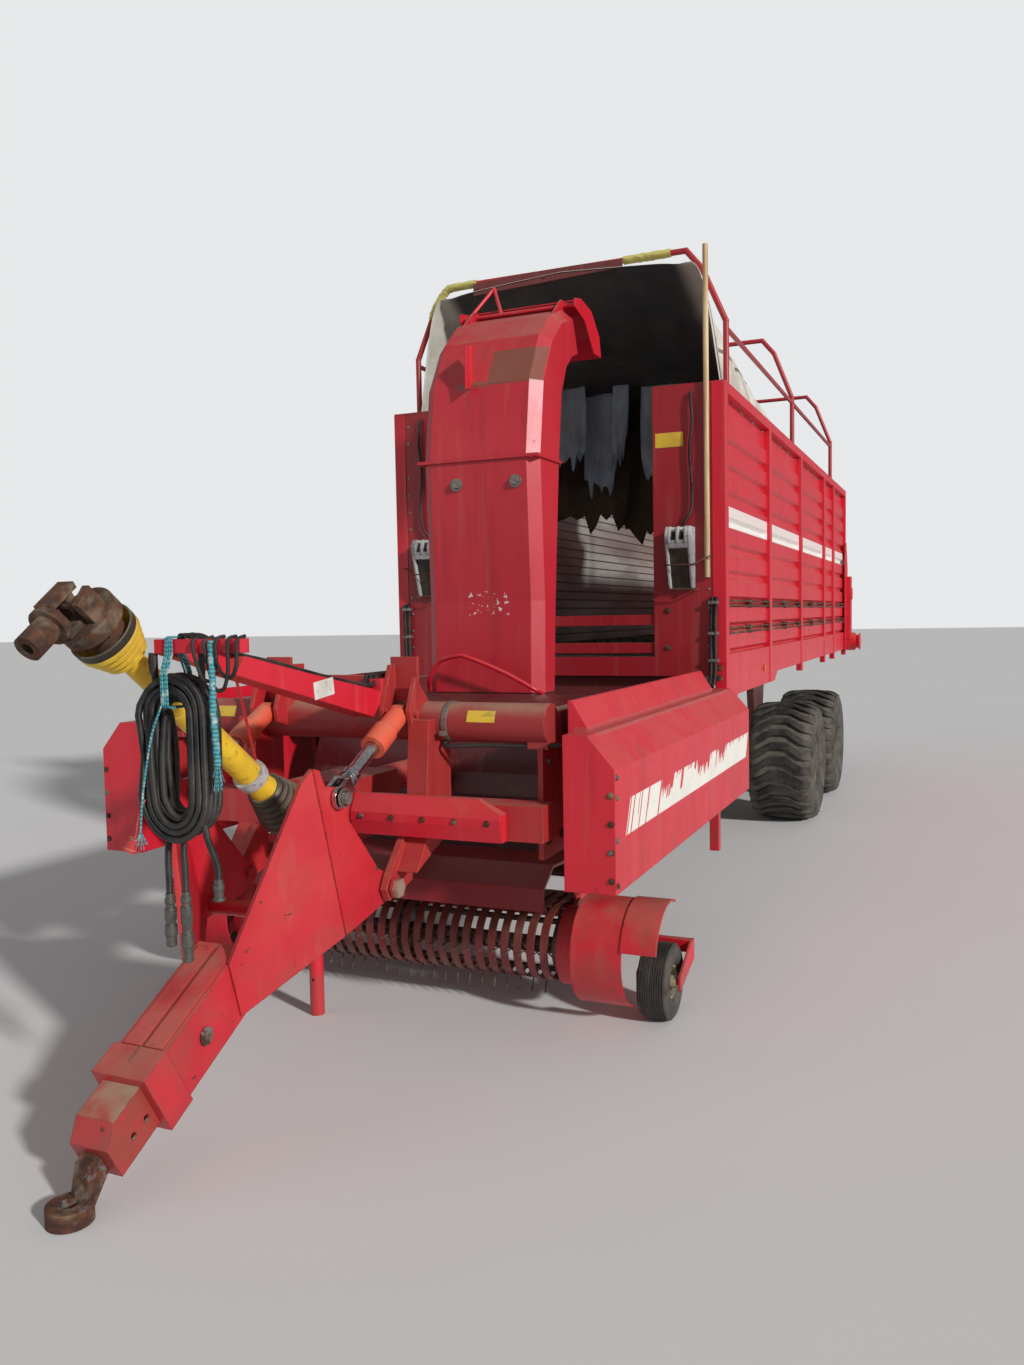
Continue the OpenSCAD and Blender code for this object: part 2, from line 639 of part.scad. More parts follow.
// Drive of the moving floor at the left rear corner
module floor_drive() color(black) at_front() {
    y = half_w;
    across([[rear_x - 60, floor_z - 180], [rear_x + 160, floor_z - 180],
            [rear_x + 160, floor_z + 900], [rear_x + 60, floor_z + 960],
            [rear_x - 60, floor_z + 700]], y, y + 12);
    pin_y([rear_x + 20, floor_z - 90], 190, y + 11, y + 90);
    pin_y([rear_x + 20, floor_z - 90], 60, y + 89, y + 130);
    pin_y([rear_x + 50, floor_z + 420], 130, y + 11, y + 70);
    block([rear_x - 20, y + 11, floor_z - 60], [rear_x + 120, y + 60, floor_z + 600]);
}

// Hoops over the load body, joined by a stay on each side
hoops = [ // place, top height above the wall
    [250, hoop_h],
    [2650, hoop_h + 40],
    [5050, hoop_h + 40]];
hoop_top = 820;
stay_h = 380;
module roof_hoops() color(worn_red) at_front() {
    $fn = 24;
    base_y = half_w - 45;
    for (h = hoops) {
        side = [[base_y, 0], [base_y, stay_h], [hoop_top + 30, h[1] - 110],
                [hoop_top - 60, h[1]]];
        jointed_pipe([for (i = [-4:3]) let(p = side[i < 0 ? i + 4 : 3 - i])
            [-h[0], i < 0 ? -p[0] : p[0], wall_z + p[1]]], hoop_d);
        for (s = [-1, 1]) translate([-h[0] - 30, s * base_y - 20, wall_z]) cube([60, 40, 12]);
    }
    both_sides() rod([-hoops[0][0], base_y, wall_z + stay_h - 40],
                     [-hoops[2][0], base_y, wall_z + stay_h - 40], hoop_d - 6);
}

// Sections of the tarpaulin, which ends torn at the second hoop: place, height of its middle,
// height of its shoulder
tarp_rows = [
    [215, 3690, 3560],
    [600, 3560, 3390],
    [1100, 3430, 3270],
    [1800, 3300, 3160],
    [hoops[1][0] - 50, 3205, 3085]];
// One row of the tarpaulin across the body, its face moved in by t
function tarp_row(r, t) =
    let(c = r[1] - t, s = r[2] - t,
        half = [[0, c], [400, c - 25], [700, (c + s) / 2 + 10], [850 - t, s],
                [wall_y - seat - t, wall_z - 15]])
    [for (i = [-4:4]) [-r[0], sign(i) * half[abs(i)][0], half[abs(i)][1]]];
module tarpaulin() color("gainsboro") at_front()
    sheet([for (r = tarp_rows) tarp_row(r, 0)], [for (r = tarp_rows) tarp_row(r, tarp_t)]);

pole_y = wall_y - 35;
pole_low = floor_z + 440;
module pole() color("wheat") at_front()
    translate([pole_d / 2 + seat, pole_y, pole_low]) cylinder(h = pole_l, d = pole_d);

// Wheel chocks in holders on the front panels, clear of the pole
chock_gap = 55;
chock_w = 140;
chock_h = 340;
module wheel_chocks() color("gray") at_front() both_sides() {
    low = floor_z + 380;
    top = low + chock_h;
    y = pole_y - pole_d / 2 - chock_gap;
    across([[e, low], [60, low], [150, top - 40], [120, top], [e, top]], y - chock_w, y);
}

// Outer drawbar tube with its collar and fork, drawn along the drawbar's slope
module on_bar() at_front() translate([bar_p[0], 0, bar_p[1]]) rotate([0, bar_slope, 0]) children();
outer_w = inner_w + 2 * outer_wall;
outer_h = inner_h + 2 * outer_wall;
module drawbar() color(red) {
    difference() {
        union() {
            on_bar() block([-bar_l, -outer_w / 2, -outer_h / 2], [-180, outer_w / 2, outer_h / 2]);
            on_bar() block([-290, -outer_w / 2 - 10, -outer_h / 2 - 10],
                           [-180, outer_w / 2 + 10, outer_h / 2 + 10]);
            at_front() both_sides() fork_side();
            at_front() pin_y([hinge_p[0] + 220, hinge_p[1] - 67], 60, -fork_w / 2, fork_w / 2);
        }
        on_bar() block([-bar_l - 1, -inner_w / 2 - tube_fit, -inner_h / 2 - tube_fit],
                       [-170, inner_w / 2 + tube_fit, inner_h / 2 + tube_fit]);
    }
}
fold_low = hinge_p + [260, -107];
fold_top = hinge_p + [430, 493];
fold_l = norm(fold_top - fold_low);
fold_tilt = atan2(fold_top[0] - fold_low[0], fold_top[1] - fold_low[1]);
fold_turn = atan2(fork_w / 2 - outer_w / 2 - 10, 323);
// One fork plate: its upright part, its slanted part and both pins
module fork_side() {
    y = fork_w / 2;
    across([fold_top, fold_top + [-35, -10], lift_eye + [62, 44], lift_eye + [30, 42], lift_eye + [-32, 28],
            lift_eye + [-85, -8], lift_eye + [-68, -83], hinge_p + [40, 78],
            [hinge_p[0] - 30, hinge_p[1] + 40], [hinge_p[0] - 48, hinge_p[1]],
            [hinge_p[0] - 20, hinge_p[1] - 55], fold_low], y - fork_t / 2, y + fork_t / 2);
    // Slanted part, folded inward along the line from fold_low to the ear
    translate([fold_low[0], y, fold_low[1]]) rotate([0, fold_tilt, 0]) rotate([0, 0, -fold_turn])
        across([[0, 0], [405, -112], [405, 85], [45, 590], [0, fold_l]], -fork_t / 2, fork_t / 2);
    pin_y(hinge_p, hinge_d, y - fork_t / 2 - 15, up_in + 35);
    translate([hinge_p[0], up_in + 34, hinge_p[1]]) rotate([90, 0, 0]) cylinder(h = 28, d = hinge_d + 24, $fn = 6);
    pin_y(lift_eye, lift_pin_d, y - 38, y + 42);
    for (s = [-46, 38]) pin_y(lift_eye, lift_pin_d + 28, y + s, y + s + 8);
}
module drawbar_inner() color(worn_red) on_bar() difference() {
    across([[-inner_l, -inner_h / 2], [0, -inner_h / 2], [0, inner_h / 2 - 50],
            [-60, inner_h / 2], [-inner_l, inner_h / 2]], -inner_w / 2, inner_w / 2);
    block([-inner_l - 1, -inner_w / 2 + 12, -inner_h / 2 + 12],
          [-30, inner_w / 2 - 12, inner_h / 2 - 52]);
    for (x = [-90, -150]) pin_y([x, -20], 22, -inner_w, inner_w);
}
eye_p = [3741, eye_t / 2];
module hitch_eye() color(rust) at_front() difference() {
    union() {
        translate([eye_p[0], 0, eye_p[1] - eye_t / 2]) cylinder(h = eye_t, d = eye_d);
        across([[eye_p[0] - 55, 4], [eye_p[0] - 30, eye_t - 2], [bar_p[0] + 38, bar_p[1] - 10],
                [bar_p[0] + 5, bar_p[1] + 8], [bar_p[0] - 30, bar_p[1] - 58]], -28, 28);
    }
    translate([eye_p[0], 0, -20]) cylinder(h = 200, d = eye_bore);
}

// Cylinder parts on the line from the upper pin to the rod's eye
module on_lift() at_front() translate([lift_top[0], fork_w / 2, lift_top[1]])
    rotate([0, lift_tilt, 0]) children();
module lift_barrel() color(worn_red) on_lift() difference() {
    union() {
        rotate([90, 0, 0]) cylinder(h = 50, d = 60, center = true);
        rotate([0, 90, 0]) translate([0, 0, 20]) cylinder(h = barrel_l - 20, d = barrel_d - 4);
        rotate([0, 90, 0]) translate([0, 0, barrel_l - 105]) cylinder(h = 105, d = barrel_d + 10);
    }
    rotate([90, 0, 0]) cylinder(h = 120, d = lift_pin_d + pin_fit, center = true);
    rotate([0, 90, 0]) translate([0, 0, bore_start]) cylinder(h = barrel_l, d = rod_d + pin_fit);
}
bore_start = 40;
lift_stroke = 151;
module lift_rod() color(steel) on_lift() {
    clevis_x = lift_len - 70;
    head_x = clevis_x - 60;
    inner_end = bore_start + lift_stroke + 5;
    rotate([0, 90, 0]) translate([0, 0, inner_end]) cylinder(h = head_x - inner_end + 1, d = rod_d);
    rotate([0, 90, 0]) translate([0, 0, head_x]) cylinder(h = 26, d = rod_d + 18);
    rotate([0, 90, 0]) translate([0, 0, head_x + 25]) cylinder(h = 24, d = 48);
    difference() {
        union() {
            block([clevis_x - 12, -32, -30], [clevis_x, 32, 30]);
            for (s = [-1, 1]) {
                block([clevis_x - e, s * 24 - 8, -28], [lift_len, s * 24 + 8, 28]);
                translate([lift_len, s * 24, 0]) rotate([90, 0, 0]) cylinder(h = 16, d = 76, center = true);
            }
        }
        translate([lift_len, 0, 0]) rotate([90, 0, 0]) cylinder(h = 120, d = lift_pin_d + 20, center = true);
    }
}
module lift_barrel_left() lift_barrel();
module lift_barrel_right() mirror([0, 1, 0]) lift_barrel();
module lift_rod_left() lift_rod();
module lift_rod_right() mirror([0, 1, 0]) lift_rod();

module parking_stand() color(red) at_front() translate([stand_p[0], stand_p[1], 0]) difference() {
    cylinder(h = stand_l, d = stand_d);
    for (z = [150, 280, 410]) translate([0, 0, z]) rotate([0, 90, 0]) cylinder(h = 100, d = 14, center = true);
}

// Pick-up: swing arms, end rings, back plate, side covers and wheel brackets
band_side = 39; // room beside the outermost band
band_n = 2 * floor((arm_in - band_side - band_w / 2) / band_pitch) + 1;
reel_p = [reel_x, reel_z];
module pickup_frame() color(red) at_front() {
    both_sides() {
        difference() {
            union() {
                across([swing_p + [-50, 40], swing_p + [-40, -45], reel_p + [-230, -60], reel_p + [-60, -140],
                        reel_p + [60, -140], reel_p + [60, 140], reel_p + [-60, 150], swing_p + [60, 50]],
                       arm_in, arm_in + 16);
                pin_y(reel_p, 2 * band_r + 20, arm_in, arm_in + 80);
            }
            pin_y(reel_p, 44 + pin_fit, arm_in - 1, arm_in + 90);
        }
        pin_y(swing_p, 40, arm_in + 15, front_half - 10);
        side_cover();
        gauge_bracket();
    }
    // Back tube between the arms
    pin_y(reel_p + [-255, 68], 70, -arm_in - e, arm_in + e);
}
// Curved sheet around the reel's end and the flap above the gauge wheel
module side_cover() {
    translate([reel_p[0], 0, reel_p[1]]) rotate([90, 0, 0]) {
        translate([0, 0, -arm_in - 290]) rotate([0, 0, -75]) band(215, 8, 190, 210);
        translate([0, 0, -arm_in - 430]) rotate([0, 0, 15]) band(221, 8, 100, 145);
    }
    // Web between the end ring and the cover
    block([reel_p[0] - 30, arm_in + 79, reel_p[1] + 120], [reel_p[0] + 30, arm_in + 290, reel_p[1] + 140]);
    block([reel_p[0] - 30, arm_in + 79, reel_p[1] + 120], [reel_p[0] + 30, arm_in + 100, reel_p[1] + 210]);
}
// An arc of sheet with radius r to its outside, thickness t, angle a and width w
module band(r, t, a, w) rotate_extrude(angle = a) translate([r - t, 0]) square([t, w]);
module gauge_bracket() {
    y0 = gauge_p[1] - gauge_w / 2 - 30;
    y1 = gauge_p[1] + gauge_w / 2 + 15;
    back = gauge_p[0] - gauge_r - 32;
    block([back - 20, arm_in + 15, gauge_r + 72], [back + 20, y1 + 10, gauge_r + 122]);
    for (y = [y0, y1])
        across([[back - 20, gauge_r + 40], [gauge_p[0] + 25, gauge_r - 30], [gauge_p[0] + 25, gauge_r + 30],
                [back + 20, gauge_r + 123], [back - 20, gauge_r + 123]], y, y + 10);
    pin_y([gauge_p[0], gauge_r], 24, y0, y1 + 10);
}
module pickup_bands() color(red) at_front() {
    for (i = [0:band_n - 1]) {
        y = (i - (band_n - 1) / 2) * band_pitch;
        translate([reel_p[0], y + band_w / 2, reel_p[1]]) rotate([90, 0, 0]) {
            rotate([0, 0, -120]) band(band_r, 6, 240, band_w);
            translate([-230, band_r - 6, 0]) cube([232, 6, band_w]);
        }
    }
    block([reel_p[0] - 260, -arm_in, reel_p[1] + band_r - 40], [reel_p[0] - 229, arm_in, reel_p[1] + band_r]);
}
module pickup_hood() color(dark_red) at_front() {
    across([[1700, 640], [1990, 660], [2100, 590], [2110, 500], [2098, 500], [2088, 582], [1985, 647],
            [1700, 627]], -arm_in - 10, arm_in + 10);
    both_sides() across([[1625, 440], [1700, 440], [1830, 640], [1700, 630]], arm_in - 10, arm_in);
}
module pickup_reel() color(steel) at_front() {
    pin_y(reel_p, 44, -arm_in - 85, arm_in + 85);
    for (k = [0:tine_bars - 1]) rotate_reel(k * 360 / tine_bars) {
        pin_y([105, 0], 24, -arm_in + 8, arm_in - 8);
        for (i = [0:band_n - 2]) {
            y = (i - (band_n - 2) / 2) * band_pitch;
            translate([100, y, 0]) rotate([0, 90, 0]) cylinder(h = reel_r - 100, d = tine_d, $fn = 6);
        }
    }
    for (y = [-arm_in + 8, -12, arm_in - 32]) pin_y(reel_p, 236, y, y + 24);
}
module rotate_reel(a) translate([reel_p[0], 0, reel_p[1]]) rotate([0, a, 0]) children();

module gauge_tyre() color(black) at_front() translate([gauge_p[0], gauge_p[1], gauge_r]) rotate([90, 0, 0])
    rotate_extrude() tyre_outline(gauge_r, gauge_w, 68, 12);
module gauge_rim() color("ivory") at_front() translate([gauge_p[0], gauge_p[1], gauge_r]) rotate([90, 0, 0]) {
    difference() {
        union() {
            cylinder(h = gauge_w - 30, d = 136, center = true);
            cylinder(h = gauge_w + 6, d = 50, center = true);
        }
        cylinder(h = gauge_w + 20, d = 24 + pin_fit, center = true);
        for (s = [-1, 1]) translate([0, 0, s * (gauge_w / 2 - 15)]) difference() {
            cylinder(h = 40, d = 116, center = true);
            cylinder(h = 50, d = 50, center = true);
        }
    }
}
module gauge_tyre_left() gauge_tyre();
module gauge_tyre_right() mirror([0, 1, 0]) gauge_tyre();
module gauge_rim_left() gauge_rim();
module gauge_rim_right() mirror([0, 1, 0]) gauge_rim();

// Half section of a tyre of radius r and width w on a seat of radius s, with round shoulders
module tyre_outline(r, w, s, round) {
    h = w / 2;
    polygon(concat(
        [[s, -h * 0.82], [s + 0.35 * (r - s), -h]],
        [for (a = [-90:30:0]) [r - round + round * cos(a), -h + round + round * sin(a)]],
        [for (a = [0:30:90]) [r - round + round * cos(a), h - round + round * sin(a)]],
        [[s + 0.35 * (r - s), h], [s, h * 0.82]]));
}
module tyre(x) color(black) at_front() translate([x, track / 2, tyre_r]) rotate([90, 0, 0])
    rotate_extrude() tyre_outline(tyre_r, tyre_w, rim_r, 90);
module rim(x) color("silver") at_front() translate([x, track / 2, tyre_r]) rotate([90, 0, 0]) {
    difference() {
        cylinder(h = tyre_w * 0.8, r = rim_r, center = true);
        for (s = [-1, 1]) translate([0, 0, s * tyre_w * 0.27]) cylinder(h = tyre_w * 0.5, r = rim_r - 14, center = true);
        cylinder(h = tyre_w, d = 70 + pin_fit, center = true);
    }
    translate([0, 0, 9]) difference() {
        cylinder(h = track / 2 - rail_in - 60 - 9, d = 150);
        translate([0, 0, -1]) cylinder(h = tyre_w, d = 70 + pin_fit);
    }
}
module tyre_front_left() tyre(-axle_x);
module tyre_front_right() mirror([0, 1, 0]) tyre(-axle_x);
module tyre_rear_left() tyre(rear_axle_x);
module tyre_rear_right() mirror([0, 1, 0]) tyre(rear_axle_x);
module rim_front_left() rim(-axle_x);
module rim_front_right() mirror([0, 1, 0]) rim(-axle_x);
module rim_rear_left() rim(rear_axle_x);
module rim_rear_right() mirror([0, 1, 0]) rim(rear_axle_x);

// Hoses: a hank tied to the holder, three tails with couplers and the twine's loose end
hank_p = [bar_end[0] - 20, 200];
hank_top = 1505;
hank_low = 1025;
hank_w = 250;
hank_t = 80;
bundle = 90; // thickness of the bundle of hoses
hose_d = 20;
coupler_d = 36;
tail_1 = [[3460, 145, 1033], [3460, 145, 990], [3461, 144, 945], [3460, 144, 900], [3460, 144, 860]];
tail_2 = [[3460, 200, 1024.5], [3460, 200, 985], [3459, 202, 945], [3460, 203, 910], [3460, 203, 870]];
tail_3 = [[3460, 285, 1049.5], [3460, 285, 1040], [3460, 295, 1012], [3460, 312, 975],
          [3460, 322, 945], [3460, 322, 915]];
twine = [[3490.5, 350, 1592], [3490.5, 350, 1550], [3490.5, 350, 1505], [3491, 351, 1460],
         [3492, 350, 1415], [3492, 352, 1370], [3491, 354, 1325], [3490, 356, 1280], [3490, 358, 1245]];
couplers = [ // end of a tail, length
    [tail_1[4], 155],
    [tail_2[4], 205],
    [tail_3[5], 60]];
function unit(v) = v / norm(v);
// A round tube along the points of a route that runs mostly downwards
module swept(p, d) {
    n = len(p);
    m = 10;
    rings = [for (i = [0:n - 1])
        let(t = unit(p[min(i + 1, n - 1)] - p[max(i - 1, 0)]), u = unit(cross(t, [1, 0, 0])),
            v = cross(t, u))
        [for (k = [0:m - 1]) p[i] + d / 2 * (u * cos(k * 360 / m) + v * sin(k * 360 / m))]];
    polyhedron(
        points = [for (r = rings) each r],
        faces = concat(
            [[for (k = [0:m - 1]) k]],
            [for (i = [0:n - 2], k = [0:m - 1])
                [i * m + k, (i + 1) * m + k, (i + 1) * m + (k + 1) % m, i * m + (k + 1) % m]],
            [[for (k = [m - 1:-1:0]) (n - 1) * m + k]]));
}
module hose_hank() color(black) at_front() translate([hank_p[0] - hank_t / 2, hank_p[1], 0])
    rotate([90, 0, 90]) linear_extrude(hank_t) difference() {
        stadium(hank_w);
        stadium(hank_w - 2 * bundle);
    }
// An upright outline with round ends, all widths around the same two centres
module stadium(w) {
    r = hank_w / 2;
    translate([-w / 2, hank_low + r]) square([w, hank_top - hank_low - hank_w]);
    for (z = [hank_low + r, hank_top - r]) translate([0, z]) circle(d = w);
}
// Loop of twine around the holder and through the hank
module hank_tie() color("steelblue") at_front() {
    x0 = hank_p[0] - hank_t / 2 - seat;
    x1 = hank_p[0] + hank_t / 2 + seat;
    z0 = hank_top - bundle - 2;
    z1 = bar_end[1] + seat;
    h0 = bar_end[0] - 40 - seat;
    h1 = bar_end[0] + seat;
    t = 8;
    difference() {
        across([[x0 - t, z0 - t], [x1 + t, z0 - t], [x1 + t, hank_top + 6], [h1 + t, z1 + t],
                [h0 - t, z1 + t], [x0 - t, hank_top + 6]], hank_p[1] - 10, hank_p[1] + 10);
        across([[x0, z0], [x1, z0], [x1, hank_top + 5], [h1, z1], [h0, z1], [x0, hank_top + 5]],
               hank_p[1] - 11, hank_p[1] + 11);
    }
}
module hose_tail_1() color(black) at_front() swept(tail_1, hose_d);
module hose_tail_2() color(black) at_front() swept(tail_2, hose_d);
module hose_tail_3() color(black) at_front() swept(tail_3, hose_d);
module twine_end() color("steelblue") at_front() swept(twine, hose_d);
module hose_couplers() color(steel) at_front() for (c = couplers)
    translate(c[0] - [0, 0, c[1]]) cylinder(h = c[1], d = coupler_d);

chassis();
front_frame();
beam_cover();
axles();
bogies();
chopper_housing();
spout();
spout_flap();
side_guard_left();
side_guard_right();
gearbox();
hose_arm();
shaft_guard();
shaft_joint();
load_floor();
side_left();
side_right();
front_wall();
rear_frame();
tailgate();
floor_drive();
roof_hoops();
tarpaulin();
pole();
wheel_chocks();
drawbar();
drawbar_inner();
hitch_eye();
lift_barrel_left();
lift_barrel_right();
lift_rod_left();
lift_rod_right();
parking_stand();
pickup_frame();
pickup_bands();
pickup_hood();
pickup_reel();
gauge_tyre_left();
gauge_tyre_right();
gauge_rim_left();
gauge_rim_right();
tyre_front_left();
tyre_front_right();
tyre_rear_left();
tyre_rear_right();
rim_front_left();
rim_front_right();
rim_rear_left();
rim_rear_right();
hose_hank();
hank_tie();
hose_tail_1();
hose_tail_2();
hose_tail_3();
twine_end();
hose_couplers();
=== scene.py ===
"""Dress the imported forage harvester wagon: finishes, roof cloth, hoses, small parts, studio, camera."""

import logging
import math
import random
from dataclasses import dataclass
from enum import Enum

import bmesh
import bpy
from mathutils import Matrix, Vector, noise


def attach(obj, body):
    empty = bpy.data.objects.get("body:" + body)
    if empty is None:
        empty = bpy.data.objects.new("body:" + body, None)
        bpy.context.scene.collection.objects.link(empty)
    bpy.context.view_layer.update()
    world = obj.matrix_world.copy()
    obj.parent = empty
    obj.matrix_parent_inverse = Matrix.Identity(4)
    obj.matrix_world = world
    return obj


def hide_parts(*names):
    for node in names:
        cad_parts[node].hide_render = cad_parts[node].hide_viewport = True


logging.basicConfig(level=logging.INFO, format="%(message)s")
LOG = logging.getLogger("harvester")
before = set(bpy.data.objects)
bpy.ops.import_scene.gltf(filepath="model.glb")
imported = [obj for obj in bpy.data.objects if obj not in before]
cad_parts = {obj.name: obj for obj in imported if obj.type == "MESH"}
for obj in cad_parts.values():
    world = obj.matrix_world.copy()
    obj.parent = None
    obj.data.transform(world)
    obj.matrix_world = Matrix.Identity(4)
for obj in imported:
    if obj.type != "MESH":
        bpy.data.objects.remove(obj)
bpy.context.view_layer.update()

FRONT = 1.1675  # place of the front wall along X; every class below measures from that wall
SIDES = (("left", 1), ("right", -1))
SOFT_EDGE = 80.0  # angle in degrees under which hoses and cloth are shaded smooth
Pair = tuple[float, float]
Point = tuple[float, float, float]
Colour = tuple[float, float, float]


def srgb(red: int, green: int, blue: int) -> Colour:
    """Turn a colour written 0 to 255 into linear values."""
    return tuple(c / 12.92 if c <= 0.04045 else ((c + 0.055) / 1.055) ** 2.4
                 for c in (red / 255, green / 255, blue / 255))


def times(colour: Colour, share: float) -> Colour:
    """The same colour, darker or brighter."""
    return tuple(c * share for c in colour)


RED = srgb(208, 22, 44)
RED_FADED = srgb(216, 50, 66)
RED_ORANGE = srgb(222, 84, 58)
WORN_ORANGE = srgb(206, 92, 56)
RUST = srgb(98, 56, 36)
RUST_DARK = srgb(62, 38, 28)
DUST = srgb(168, 148, 122)
SOIL = srgb(96, 78, 60)
STEEL = srgb(140, 138, 134)
WHITE = srgb(226, 222, 212)


# Shader maths

class Value:
    """A node's output that Python's operators extend with Math nodes."""

    def __init__(self, recipe: "Recipe", socket: bpy.types.NodeSocket) -> None:
        """Keep the output and the recipe it belongs to."""
        self.recipe, self.socket = recipe, socket

    def maths(self, operation: str, *numbers: "Value | float") -> "Value":
        """Add one Math node."""
        return self.recipe.out("ShaderNodeMath", {"operation": operation}, dict(enumerate(numbers)))

    def __add__(self, other: "Value | float") -> "Value":
        """Sum."""
        return self.maths("ADD", self, other)

    def __sub__(self, other: "Value | float") -> "Value":
        """Difference."""
        return self.maths("SUBTRACT", self, other)

    def __rsub__(self, other: float) -> "Value":
        """Difference from a number."""
        return self.maths("SUBTRACT", other, self)

    def __mul__(self, other: "Value | float") -> "Value":
        """Product."""
        return self.maths("MULTIPLY", self, other)

    def __abs__(self) -> "Value":
        """Size without its sign."""
        return self.maths("ABSOLUTE", self)

    __radd__ = __add__
    __rmul__ = __mul__

    def most(self, other: "Value | float") -> "Value":
        """The larger of two."""
        return self.maths("MAXIMUM", self, other)

    def wave(self, length: float) -> "Value":
        """A smooth wave from 0 to 1 that repeats at this length."""
        return self.maths("SINE", self * (math.tau / length)) * 0.5 + 0.5

    def above(self, low: float, high: float) -> "Value":
        """0 under low, 1 over high, smooth between them."""
        return self.recipe.out("ShaderNodeMapRange", {"interpolation_type": "SMOOTHSTEP", "clamp": True},
                               {0: self, 1: low, 2: high, 3: 0.0, 4: 1.0})

    def between(self, low: float, high: float, soft: float) -> "Value":
        """1 from low to high, with soft ends."""
        return self.above(low - soft, low + soft) * (1 - self.above(high - soft, high + soft))


def add_node(tree: bpy.types.NodeTree, kind: str, settings: dict | None = None,
             inputs: dict | None = None) -> bpy.types.Node:
    """Add a node to a tree.

    Args:
        tree: the tree.
        kind: the node's type.
        settings: its own settings, set first.
        inputs: a number, colour, Value or output for each socket, by name or number.

    Returns:
        The new node.
    """
    made = tree.nodes.new(kind)
    for name, value in (settings or {}).items():
        setattr(made, name, value)
    for key, value in (inputs or {}).items():
        socket = made.inputs[key]
        if isinstance(value, Value):
            value = value.socket
        if isinstance(value, bpy.types.NodeSocket):
            tree.links.new(value, socket)
        else:
            socket.default_value = (*value[:3], 1.0) if socket.type == "RGBA" else value
    return made


class Recipe:
    """One material's node tree."""

    def __init__(self, name: str) -> None:
        """Start an empty tree with the places that every finish reads."""
        self.material = bpy.data.materials.new(name)
        self.material.use_nodes = True
        self.tree = self.material.node_tree
        self.tree.nodes.clear()
        coordinates = self.node("ShaderNodeTexCoord")
        self.place = Value(self, coordinates.outputs["Object"])
        self.uv = Value(self, coordinates.outputs["UV"])
        x, self.y, self.z = self.split(self.place)
        self.x = x - FRONT
        self.side = abs(self.y)
        _, self.out_y, self.up = self.split(Value(self, coordinates.outputs["Normal"]))

    def node(self, kind: str, settings: dict | None = None, inputs: dict | None = None) -> bpy.types.Node:
        """Add a node to the material."""
        return add_node(self.tree, kind, settings, inputs)

    def out(self, kind: str, settings: dict | None = None, inputs: dict | None = None, at: int = 0) -> Value:
        """Add a node and return one of its outputs as a Value."""
        return Value(self, self.node(kind, settings, inputs).outputs[at])

    def split(self, vector: Value) -> tuple[Value, Value, Value]:
        """The three parts of a vector."""
        parts = self.node("ShaderNodeSeparateXYZ", None, {0: vector})
        return tuple(Value(self, socket) for socket in parts.outputs)

    def noise(self, scale: float, detail: float = 3.0, stretch: Point = (1, 1, 1)) -> Value:
        """Noise from about 0.3 to 0.7, with its places multiplied by stretch."""
        where = self.out("ShaderNodeVectorMath", {"operation": "MULTIPLY"}, {0: self.place, 1: stretch})
        return self.out("ShaderNodeTexNoise", None, {"Vector": where, "Scale": scale, "Detail": detail,
                                                     "Roughness": 0.6})

    def blend(self, share: Value | float, first: Value | Colour, second: Value | Colour) -> Value:
        """Mix two colours; share is how much of the second."""
        return self.out("ShaderNodeMix", {"data_type": "RGBA"}, {0: share, 6: first, 7: second}, 2)

    def edges(self, radius: float) -> tuple[Value, Value]:
        """Find worn edges.

        Args:
            radius: how far the wear reaches.

        Returns:
            A mask that is 1 on edges, and a normal that rounds them.
        """
        rounded = self.out("ShaderNodeBevel", {"samples": 4}, {"Radius": radius})
        true = Value(self, self.node("ShaderNodeNewGeometry").outputs["Normal"])
        match = self.out("ShaderNodeVectorMath", {"operation": "DOT_PRODUCT"}, {0: rounded, 1: true}, 1)
        return (1 - match).above(0.01, 0.16), rounded

    def surface(self, colour: Value | Colour, rough: Value | float, metal: Value | float = 0.0,
                bumps: tuple[tuple[Value, float], ...] = (), normal: Value | None = None,
                fixed: dict | None = None) -> None:
        """Close the tree with a Principled shader.

        Args:
            colour: base colour.
            rough: roughness.
            metal: how metallic it is.
            bumps: pairs of a height and its depth in metres.
            normal: a normal that the bumps start from.
            fixed: sockets with one number or colour all over.
        """
        turned = {"Normal": normal} if normal else {}
        for height, depth in bumps:
            turned = {"Normal": self.out("ShaderNodeBump", None, {"Height": height, "Distance": depth,
                                                                  "Strength": 1.0, **turned})}
        shader = self.node("ShaderNodeBsdfPrincipled", None, {
            "Base Color": colour, "Roughness": rough, "Metallic": metal, **(fixed or {}), **turned})
        self.node("ShaderNodeOutputMaterial", None, {0: shader.outputs[0]})


# Finishes

STOCK: dict[str, bpy.types.Material] = {}


@dataclass(frozen=True)
class Finish:
    """What every finish has: a name, the record's material slot and a material made once."""

    name: str
    slot: str = "paint"

    def mix(self, r: Recipe) -> None:
        """Fill the recipe."""
        raise NotImplementedError

    def material(self) -> bpy.types.Material:
        """The finish's material, made at its first use."""
        if self.name not in STOCK:
            recipe = Recipe(self.name)
            self.mix(recipe)
            STOCK[self.name] = recipe.material
        return STOCK[self.name]


